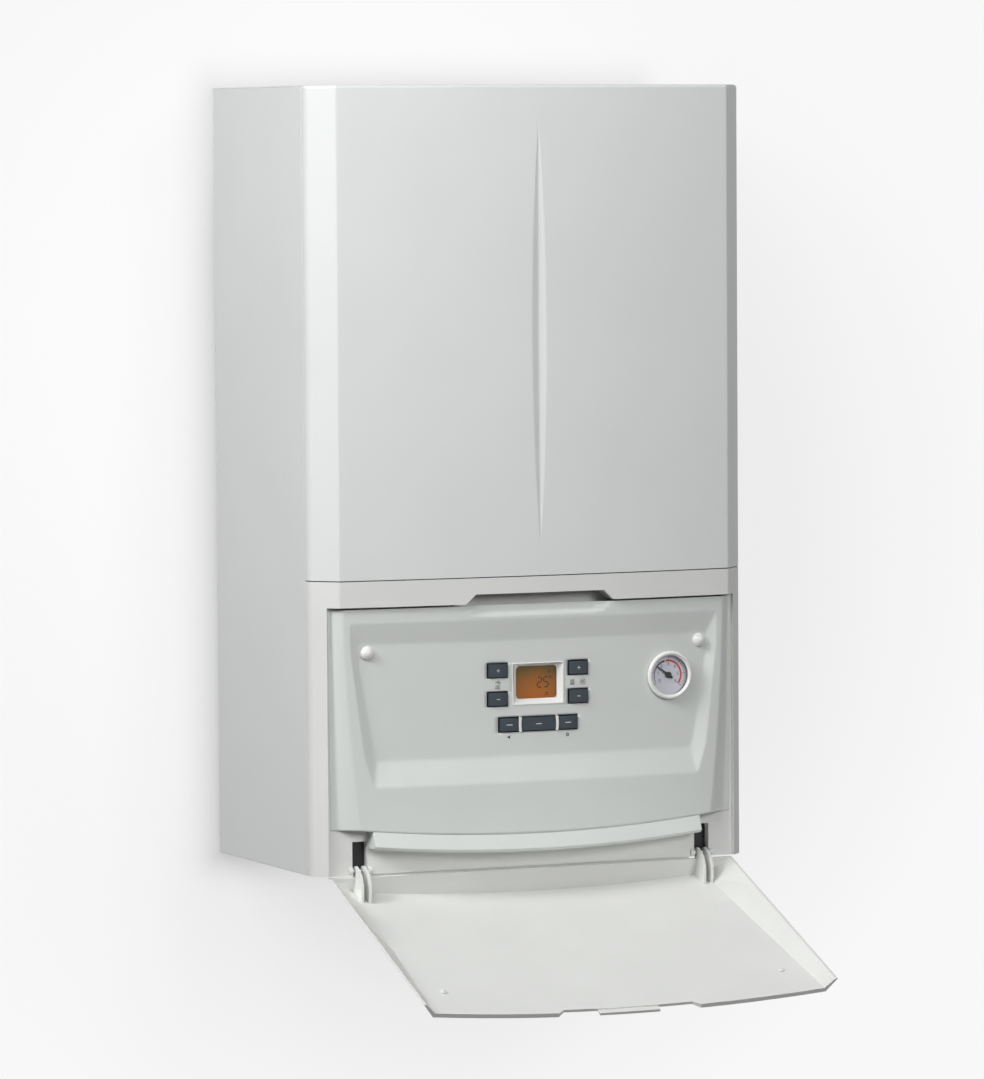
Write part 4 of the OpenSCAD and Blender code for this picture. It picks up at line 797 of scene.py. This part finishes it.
def gauge_rim():
    """White ring of the gauge: rounded outside, stepped down to the glass inside."""
    low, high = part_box("gauge_ring")
    centre = Vector(((low.x + high.x) / 2, high.y, (low.z + high.z) / 2))
    outer = (high.x - low.x) / 2 / MM
    crown = [
        (0, 0), (0, -1.7), (0.15, -2.3), (0.5, -2.9), (1.0, -3.4), (1.7, -3.75), (2.2, -3.8),
        (2.6, -3.7), (2.8, -3.4), (2.9, -2.9), (3.1, -2.6), (3.4, -2.5),
    ]
    glass_seat = [(18.9, -2.4), (18.6, -2.25), (18.5, -1.85), (19.65, -1.85), (19.65, 0)]
    profile = [(outer - inwards, y) for inwards, y in crown] + glass_seat
    finished(lathe(profile, centre, "gauge_rim"), "gauge_rim", "casing", "gloss_white", ["gauge_ring"])


def dial_tick(index):
    """Outline of one tick, longer and bolder at each whole reading."""
    angle = dial_angle(index / TICKS_PER_UNIT)
    inner_r, width = WHOLE_TICK if index % TICKS_PER_UNIT == 0 else PART_TICK
    return bar(*polar(inner_r, angle), *polar(TICK_OUTER_R, angle), width)


def dial_number(reading, centre, y):
    """Plain number of the dial at its reading's angle."""
    curve = bpy.data.curves.new(f"dial_number_{reading}", "FONT")
    curve.body = str(reading)
    curve.size = NUMBER_SIZE * MM
    curve.extrude = SUNK * MM
    curve.align_x = "CENTER"
    curve.align_y = "CENTER"
    text = bpy.data.objects.new(curve.name, curve)
    spot = polar(NUMBER_R, dial_angle(reading)) * MM
    upright = Matrix.Rotation(math.radians(90), 4, "X")
    text.matrix_world = Matrix.Translation((centre.x + spot.x, y, centre.z + spot.y)) @ upright
    bpy.context.scene.collection.objects.link(text)
    bpy.context.view_layer.update()
    mesh = bpy.data.meshes.new_from_object(text.evaluated_get(bpy.context.evaluated_depsgraph_get()))
    mesh.transform(text.matrix_world)
    bpy.data.objects.remove(text)
    mesh.materials.clear()
    finished(mesh, f"dial_number_{reading}", "casing", "print_dark", smooth=False)


def dial_marks():
    """Scale of the pressure gauge: arcs, ticks and plain numbers."""
    low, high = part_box("gauge_dial")
    centre = (low + high) / 2
    spot = (centre.x, low.y, centre.z)
    black = [arc_band(*BAND, dial_angle(0), dial_angle(RED_FROM), 24, BLACK_TAPER)]
    red = [arc_band(*BAND, dial_angle(RED_FROM + RED_GAP), dial_angle(DIAL_TOP), 30)]
    ticks = [dial_tick(index) for index in range(DIAL_TOP * TICKS_PER_UNIT + 1)]
    laid("dial_scale", black + ticks, spot, INK, "print_dark")
    laid("dial_red_band", red, spot, INK, "print_red")
    for reading in range(DIAL_TOP + 1):
        dial_number(reading, centre, low.y)


# Control panel moulding: one skin whose face, dish, finger scoop and flanks follow the bowed front

# Face: how far it lies back, its lean about a height, its ends and half widths there
FACE_BACK = 3
FACE_LEAN = math.radians(0.6)
LEAN_Z = 140
FACE_TOP = 246
FACE_FOOT = 32.5
FACE_TOP_X = 194
FACE_FOOT_X = 179
FACE_CURVE = 1.72
# Flanks beside the face, down to the floor of the recess
FLANK_TOP_X = 205.8
FLANK_FOOT_X = 203.6
FLANK_SHARE = 0.75
# Rise of the face's lower edge, floor of the recess, half width of the soft edges, and the wall
SMILE = 9.5
RECESS_Y = 12.2 - CASING_D
EDGE_SOFT = 2.0
PANEL_WALL = 1.6

# Dish: its half widths at heights from the foot up, at the lip and at the floor
DISH_DEPTH = 5
DISH_TOP = 233
DISH_FOOT = 81
DISH_TOP_WALL = 20
DISH_FOOT_WALL = 24
DISH_LIP = ((DISH_FOOT, 165), (109, 174), (203, 186), (DISH_TOP, 187))
DISH_FLOOR = (
    (DISH_FOOT + DISH_FOOT_WALL, 160.5),
    (118, 163.5),
    (191, 176.5),
    (DISH_TOP - DISH_TOP_WALL, 177.5),
)
DISH_CORNERS = 9
DISH_BENDS = 0.08

# Finger scoop at the middle of the face's upper edge
SCOOP_FOOT = 237
SCOOP_HALF = 62
SCOOP_DEPTH = 4.5
SCOOP_FLARE = 0.83
SCOOP_WALL = 2
SCOOP_CORNERS = 2.5
SCOOP_BENDS = 0.3


def eased(t, soft):
    """Share held between 0 and 1, with both bends rounded."""
    if t <= -soft:
        return 0.0
    if t < soft:
        return (t + soft) ** 2 / (4 * soft)
    if t < 1 - soft:
        return t
    return 1 - (1 + soft - t) ** 2 / (4 * soft) if t < 1 + soft else 1.0


def softly_least(values, sharpness):
    """Least of some numbers, blended where two are close."""
    least = min(values)
    return least - math.log(sum(math.exp(-sharpness * (value - least)) for value in values)) / sharpness


def stretch(z, points):
    """Value at a height on a broken line of height and value, from the lowest point up."""
    for (z0, v0), (z1, v1) in zip(points, points[1:]):
        if z <= z1:
            return between(v0, v1, (z - z0) / (z1 - z0))
    return points[-1][1]


def smile_z(x):
    """Height of the face's lower edge."""
    return FACE_FOOT + SMILE * min(abs(x) / FACE_FOOT_X, 1.0) ** 2


def face_x(z):
    """Half width of the tapered face at a height."""
    share = (FACE_TOP - z) / (FACE_TOP - FACE_FOOT - SMILE)
    return FACE_TOP_X - (FACE_TOP_X - FACE_FOOT_X) * share**FACE_CURVE


def flank_x(z):
    """Half width of the flanks at the back of the recess."""
    return between(FLANK_FOOT_X, FLANK_TOP_X, (z - FACE_FOOT - SMILE) / (FACE_TOP - FACE_FOOT - SMILE))


def face_y(x, z):
    """Y of the leaning face."""
    return front_y(x, FACE_BACK + (z - LEAN_Z) * math.tan(FACE_LEAN))


def dish_share(x, z):
    """Share of the dish's depth at a point, from 0 on the face to 1 on its floor."""
    lip = stretch(z, DISH_LIP)
    floor = stretch(z, DISH_FLOOR)
    top_wall = (DISH_TOP - z) / DISH_TOP_WALL
    foot_wall = (z - DISH_FOOT) / DISH_FOOT_WALL
    side_wall = (lip - abs(x)) / (lip - floor)
    return eased(softly_least([top_wall, foot_wall, side_wall], DISH_CORNERS), DISH_BENDS)


def scoop_share(x, z):
    """Share of the finger scoop's depth at a point."""
    rise = z - SCOOP_FOOT
    inwards = SCOOP_HALF + rise * SCOOP_FLARE - abs(x)
    return eased(softly_least([rise / SCOOP_WALL, inwards / SCOOP_WALL], SCOOP_CORNERS), SCOOP_BENDS)


def panel_y(x, z):
    """Y of the panel's surface at a point."""
    y = between(face_y(x, z), front_y(x, FACE_BACK + DISH_DEPTH), dish_share(x, z))
    scoop_y = front_y(0, FACE_BACK + (SCOOP_FOOT - LEAN_Z) * math.tan(FACE_LEAN) + SCOOP_DEPTH)
    y = max(y, between(y, scoop_y, scoop_share(x, z)))
    edge = face_x(z)
    past = abs(x) - edge
    slope = (RECESS_Y - face_y(edge, z)) / ((flank_x(z) - edge) * FLANK_SHARE)
    if past > EDGE_SOFT:
        return min(face_y(edge, z) + past * slope, RECESS_Y)
    if past > -EDGE_SOFT:
        return y + (past + EDGE_SOFT) ** 2 / (4 * EDGE_SOFT) * slope
    return y


# Grid of the skin as stretches of start, end and step, first across its middle
GRID_MIDDLE = 100
ACROSS_MIDDLE = [(-GRID_MIDDLE, GRID_MIDDLE, 5)]
# Shares of the way from there to the face's edge, which is 1, and on to the flank's edge, which is 2
ACROSS_SIDE = [(0, 0.5, 0.018), (0.5, 0.82, 0.018), (0.82, 1, 0.009), (1, 1.85, 0.06), (1.85, 2, 0.05)]
# Shares of the way up from the smile to the first level, then the levels
UP_FROM_SMILE = [(0, 1, 0.09)]
LEVELS = [(62, 77, 3), (77, 108, 0.9), (108, 150, 2.4), (150, 208, 1.3), (208, FACE_TOP, 0.9)]
LEAST_CELL = 0.5


def grid_lines(stretches, cuts=()):
    """Rising grid values: even steps over each stretch, with every cut kept as a line of its own."""
    lines = []
    for start, end, step in stretches:
        count = max(round((end - start) / step), 1)
        lines += [between(start, end, i / count) for i in range(count)]
    lines.append(stretches[-1][1])
    kept = [value for value in lines if all(abs(value - cut) > LEAST_CELL for cut in cuts)]
    return sorted(kept + [cut for cut in set(cuts) if stretches[0][0] < cut < stretches[-1][1]])


# Play round the keys, and how far the openings stay inside the parts that cover them
KEY_PLAY = 0.35
UNDER_BEZEL = 2.6
UNDER_RING = 2
UNDER_CAP = 1.8


def box_mm(node):
    """Lowest and highest corner of a CAD node, in millimetres."""
    return [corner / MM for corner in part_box(node)]


def panel_openings():
    """Key and display openings as x0, x1, z0, z1, and round ones as a centre and a radius."""
    rects = []
    for node, edge in [(node, KEY_PLAY) for node in button_nodes] + [("lcd_bezel", -UNDER_BEZEL)]:
        low, high = box_mm(node)
        rects.append((low.x - edge, high.x + edge, low.z - edge, high.z + edge))
    low, high = box_mm("gauge_ring")
    rounds = [((low.x + high.x) / 2, (low.z + high.z) / 2, (high.x - low.x) / 2 - UNDER_RING)]
    low, high = box_mm("screw_covers")
    cap_r = (high.z - low.z) / 2
    rounds += [(a * (high.x - cap_r), (low.z + high.z) / 2, cap_r - UNDER_CAP) for a in (-1, 1)]
    return rects, rounds


def column_x(column, z):
    """X at a height of a grid column, given as its side (0 in the middle) and its X or share."""
    side, along = column
    if side == 0:
        return along
    if along <= 1:
        return side * between(GRID_MIDDLE, face_x(z), along)
    return side * between(face_x(z), flank_x(z), along - 1)


def panel_skin():
    """Front skin of the control panel, open at the keys, the display and the gauge."""
    rects, rounds = panel_openings()
    shares = grid_lines(ACROSS_SIDE)[1:]
    columns = [(-1, share) for share in reversed(shares)]
    columns += [(0, x) for x in grid_lines(ACROSS_MIDDLE, [x for rect in rects for x in rect[:2]])]
    columns += [(1, share) for share in shares]
    levels = grid_lines(LEVELS, [z for rect in rects for z in rect[2:]])
    spots = []
    for share in grid_lines(UP_FROM_SMILE)[:-1]:
        for column in columns:
            z = between(smile_z(column_x(column, FACE_FOOT + SMILE)), levels[0], share)
            spots.append((column_x(column, z), z))
    spots += [(column_x(column, z), z) for z in levels for column in columns]

    def is_open(face):
        """Whether a face's middle lies in an opening."""
        x = (spots[face[0]][0] + spots[face[2]][0]) / 2
        z = (spots[face[0]][1] + spots[face[2]][1]) / 2
        in_rect = any(x0 < x < x1 and z0 < z < z1 for x0, x1, z0, z1 in rects)
        return in_rect or any(math.hypot(x - cx, z - cz) < radius for cx, cz, radius in rounds)

    faces = [face for face in grid_faces(len(spots) // len(columns), len(columns)) if not is_open(face)]
    mesh = bpy.data.meshes.new("panel_skin")
    mesh.from_pydata([tuple(millimetres(x, panel_y(x, z), z)) for x, z in spots], [], faces)
    with reshaped(mesh) as shape:
        loose = [vertex for vertex in shape.verts if not vertex.link_faces]
        bmesh.ops.delete(shape, geom=loose, context="VERTS")
    piece = finished(mesh, "panel_skin", "casing", "grey_moulding", ["control_panel"])
    thickened(piece, PANEL_WALL)


# Ledge: half width, height of its slant, how far it stands out, and its small bends and play
LEDGE_HALF = 166.5
LEDGE_H = 13
LEDGE_OUT = 6
LEDGE_STEPS = 40
LEDGE_TUCK = 1
LEDGE_LIP_H = 3
LEDGE_LIP_BACK = 2.5
LEDGE_BEND = 0.5
LEDGE_BEND_BACK = 0.3
LEDGE_PLAY = 0.1
LEDGE_EDGE = 0.9


def ledge_section(x):
    """Outline of the ledge at x, from the recess under its lip and up its slant to the face's edge."""
    up = smile_z(x)
    low = up - LEDGE_H
    front = FACE_BACK - LEDGE_OUT
    edge_y = face_y(x, up) + LEDGE_PLAY
    outline = [
        (RECESS_Y, up + LEDGE_TUCK),
        (RECESS_Y, low - LEDGE_LIP_H),
        (front_y(x, front + LEDGE_LIP_BACK), low - LEDGE_LIP_H),
        (front_y(x, front), low - LEDGE_BEND),
        (front_y(x, front + LEDGE_BEND_BACK), low + LEDGE_BEND),
        (edge_y, up),
        (edge_y, up + LEDGE_TUCK),
    ]
    return [millimetres(x, y, z) for y, z in outline]


def panel_ledge():
    """Slanted ledge across the foot of the panel, its edges in a smile."""
    sections = [
        ledge_section(between(-LEDGE_HALF, LEDGE_HALF, i / LEDGE_STEPS)) for i in range(LEDGE_STEPS + 1)
    ]
    count = len(sections[0])
    faces = tube_faces(len(sections), count)
    faces += [tuple(range(count)), tuple(LEDGE_STEPS * count + j for j in range(count))]
    mesh = mesh_of([point for section in sections for point in section], faces, "panel_ledge")
    rounded_edges(finished(mesh, "panel_ledge", "casing", "grey_moulding"), LEDGE_EDGE, angle=12)


# Painted shade in the seam, a dark strip: its place behind the cover's face, its foot and top, and its wall
SEAM_SHADE_BACK = 1.1
SEAM_SHADE_FOOT = COVER_Z - 1.6
SEAM_SHADE_TOP = COVER_Z + 1.0
SEAM_SHADE_WALL = 0.3


def seam_seal():
    """Dark strip of painted shade in the joint between the upper cover and the lower frame."""
    ring = cover_ring(COVER_Z, SEAM_SHADE_BACK)
    vertices = [millimetres(point.x, point.y, z) for z in (SEAM_SHADE_FOOT, SEAM_SHADE_TOP) for point in ring]
    mesh = mesh_of(vertices, grid_faces(2, len(ring)), "seam_seal")
    thickened(finished(mesh, "seam_seal", "casing", "black_plastic", smooth=False), SEAM_SHADE_WALL)


# Hinge slots: place and half width of a slot, its foot, top and back, and the wall of the dark sheet of
# painted shade at its back
SLOT_X = 174.5
SLOT_HALF = 7.4
SLOT_FOOT = 1
SLOT_TOP = 30.8
SLOT_BACK_Y = -231.1
SLOT_SHADE_WALL = 0.3


def slot_linings():
    """Dark sheet of painted shade at the back of each hinge slot."""
    outline = [
        (-SLOT_HALF, SLOT_FOOT), (SLOT_HALF, SLOT_FOOT), (SLOT_HALF, SLOT_TOP), (-SLOT_HALF, SLOT_TOP),
    ]
    for name, x in (("slot_shade_left", -SLOT_X), ("slot_shade_right", SLOT_X)):
        laid(name, [outline], (x * MM, SLOT_BACK_Y * MM, 0), SLOT_SHADE_WALL, "black_plastic")


# Casing, mouldings and fittings


def dress_nodes():
    """Gives every CAD node that stays its own finish."""
    for node, piece in frame["nodes"].items():
        piece.data.materials.clear()
        piece.data.materials.append(materials[node_slots[node]])


# Parts whose edges show, and how wide those edges are rounded
EDGE_WIDTHS = {
    "control_frame": 0.8,
    "flap": 0.5,
    "left_side_panel": 0.6,
    "right_side_panel": 0.6,
    "top_panel": 0.3,
    "lcd_bezel": 0.3,
    "button_dividers": 0.3,
    "screw_covers": 0.25,
    "gauge_needle": 0.08,
    "catch_pegs": 0.3,
    "back_frame": 0.5,
    "wall_bracket": 0.5,
    "bottom_plate": 0.4,
    **{node: 0.5 for node in button_nodes},
}


def mouldings():
    """Copies of these parts with rounded edges."""
    for node, width in EDGE_WIDTHS.items():
        softened(node, width)


# Stage: a wall and a floor that only the camera sees, so that they shade nothing

BACKGROUND = srgb(248, 248, 248)
STAGE_HALF = 6
STAGE_GLOW = 0.79
STAGE_GREY = 0.25
# Painted shade on the stage around the casing: light left at the casing's edge, and how far and how fast it
# comes back
PAINTED_SHADE_LIGHT = 0.62
PAINTED_SHADE_REACH = 0.05
PAINTED_SHADE_FALL = 2.2


def contact_share(graph, place):
    """Painted shade on the stage close to the casing: the light left there, rising outwards from the
    casing's edge.
    """
    low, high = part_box("back_frame")
    middle = (low + high) / 2
    half = (high - low) / 2
    off = graph.vector_maths("SUBTRACT", place, middle).outputs["Vector"]
    off = graph.vector_maths("ABSOLUTE", off).outputs["Vector"]
    off = graph.vector_maths("SUBTRACT", off, half).outputs["Vector"]
    off = graph.vector_maths("MAXIMUM", off, (0.0, 0.0, 0.0)).outputs["Vector"]
    gap = graph.vector_maths("LENGTH", off).outputs["Value"]
    shade = graph.maths("POWER", graph.span(gap, 1, 0, 0, PAINTED_SHADE_REACH), PAINTED_SHADE_FALL)
    return graph.span(shade, 1, PAINTED_SHADE_LIGHT, 0, 1)


def studio_surface(name, centre, across, up, fade_start, fade_end):
    """Pale plane that takes the object's shadow near it, carries a painted shade around the casing, and
    fades to the background further off.
    """
    made = bpy.data.materials.new(name)
    graph = Graph(made)
    graph.tree.nodes.clear()
    geometry = graph.node("NewGeometry").outputs
    # Painted shade: the stage's glow is dimmed close to the casing
    strength = graph.maths("MULTIPLY", contact_share(graph, geometry["Position"]), STAGE_GLOW)
    lit = graph.node("BsdfDiffuse", {"Color": (STAGE_GREY, STAGE_GREY, STAGE_GREY, 1.0)}).outputs[0]
    glow = graph.node("Emission", {"Color": (*BACKGROUND, 1.0), "Strength": strength}).outputs[0]
    near = graph.node("AddShader", {0: lit, 1: glow}).outputs[0]
    plain = graph.node("Emission", {"Color": (*BACKGROUND, 1.0), "Strength": 1.0}).outputs[0]
    distance = graph.vector_maths("DISTANCE", geometry["Position"], centre).outputs["Value"]
    share = graph.span(distance, 0, 1, fade_start, fade_end)
    shade = graph.node("MixShader", {0: share, 1: near, 2: plain}).outputs[0]
    in_front = graph.maths("SUBTRACT", 1.0, geometry["Backfacing"])
    camera_ray = graph.node("LightPath").outputs["Is Camera Ray"]
    shown = graph.maths("MULTIPLY", camera_ray, in_front)
    clear = graph.node("BsdfTransparent").outputs[0]
    surface = graph.node("MixShader", {0: shown, 1: clear, 2: shade}).outputs[0]
    graph.node("OutputMaterial", {"Surface": surface})
    across, up, middle = Vector(across) * STAGE_HALF, Vector(up) * STAGE_HALF, Vector(centre)
    corners = [middle - across - up, middle + across - up, middle + across + up, middle - across + up]
    mesh = bpy.data.meshes.new(name)
    mesh.from_pydata([tuple(c) for c in corners], [], [(0, 1, 2, 3)])
    mesh.materials.append(made)
    plane = bpy.data.objects.new(name, mesh)
    bpy.context.scene.collection.objects.link(plane)


# Strength of the surroundings for the light on rough surfaces and for reflections
SOFT_LIGHT = 0.05
MIRRORED_LIGHT = 0.5


def world():
    """Dim surroundings, brighter in reflections and pale where the camera or a window sees them."""
    made = bpy.data.worlds.new("surroundings")
    bpy.context.scene.world = made
    graph = Graph(made)
    graph.tree.nodes.clear()
    path = graph.node("LightPath").outputs
    seen = graph.maths("MAXIMUM", path["Is Camera Ray"], path["Is Transmission Ray"])
    strength = graph.span(path["Is Glossy Ray"], SOFT_LIGHT, MIRRORED_LIGHT, 0, 1)
    soft = graph.node("Background", {"Color": (1.0, 1.0, 1.0, 1.0), "Strength": strength}).outputs[0]
    pale = graph.node("Background", {"Color": (*BACKGROUND, 1.0), "Strength": 1.0}).outputs[0]
    mixed = graph.node("MixShader", {0: seen, 1: soft, 2: pale}).outputs[0]
    graph.node("OutputWorld", {"Surface": mixed})


LAMP_AIM = Vector((0.0, -0.15, 0.36))
# Place, size and watts of each lamp
LAMPS = {
    "key": ((-3.8, -1.2, 2.6), 1.6, 126),
    "near_left": ((-1.1, -1.25, 1.5), 0.9, 12.5),
    "fill": ((1.2, -4.6, 1.8), 1.6, 78),
    "right": ((3.2, -1.5, 1.4), 1.2, 6),
}


def lamps():
    """Square softboxes that look at the casing and stay out of the camera's sight."""
    for name, (spot, size, watts) in LAMPS.items():
        light = bpy.data.lights.new(name, "AREA")
        light.size = size
        light.energy = watts
        lamp = bpy.data.objects.new(name, light)
        lamp.visible_camera = False
        turn = (LAMP_AIM - Vector(spot)).to_track_quat("-Z", "Y").to_matrix().to_4x4()
        lamp.matrix_world = Matrix.Translation(spot) @ turn
        bpy.context.scene.collection.objects.link(lamp)


# Camera fitted to the photograph: focal length in pixels, turns in radians and place in metres
IMAGE_LONG_SIDE = 1079
FOCAL_PX = 6304.92
YAW = 0.414146
PITCH = 0.061389
ROLL = -0.006155
CAMERA_AT = (-2.38965, -5.58614, 0.66505)


def camera():
    """Camera fitted to the photograph."""
    data = bpy.data.cameras.new("camera")
    data.sensor_width = 36
    data.lens = FOCAL_PX * data.sensor_width / IMAGE_LONG_SIDE
    data.clip_end = 100
    ahead = Vector((math.sin(YAW) * math.cos(PITCH), math.cos(YAW) * math.cos(PITCH), -math.sin(PITCH)))
    level = Vector((math.cos(YAW), -math.sin(YAW), 0))
    upward = level.cross(ahead)
    right = level * math.cos(ROLL) + upward * math.sin(ROLL)
    up = upward * math.cos(ROLL) - level * math.sin(ROLL)
    turn = Matrix((right, up, -ahead)).transposed().to_4x4()
    seen_by = bpy.data.objects.new("camera", data)
    seen_by.matrix_world = Matrix.Translation(CAMERA_AT) @ turn
    bpy.context.scene.collection.objects.link(seen_by)
    bpy.context.scene.camera = seen_by


camera()
world()
lamps()
studio_surface("wall", (0, 0.002, 0.3), (1, 0, 0), (0, 0, 1), 0.36, 0.64)
studio_surface("floor", (0, -0.3, -0.6), (1, 0, 0), (0, 1, 0), 0.3, 0.9)
dress_nodes()
upper_cover()
mouldings()
panel_skin()
panel_ledge()
slot_linings()
seam_seal()
display_window()
display_marks()
key_marks()
panel_icons()
gauge_rim()
dial_marks()

bpy.context.scene.view_settings.view_transform = "Standard"
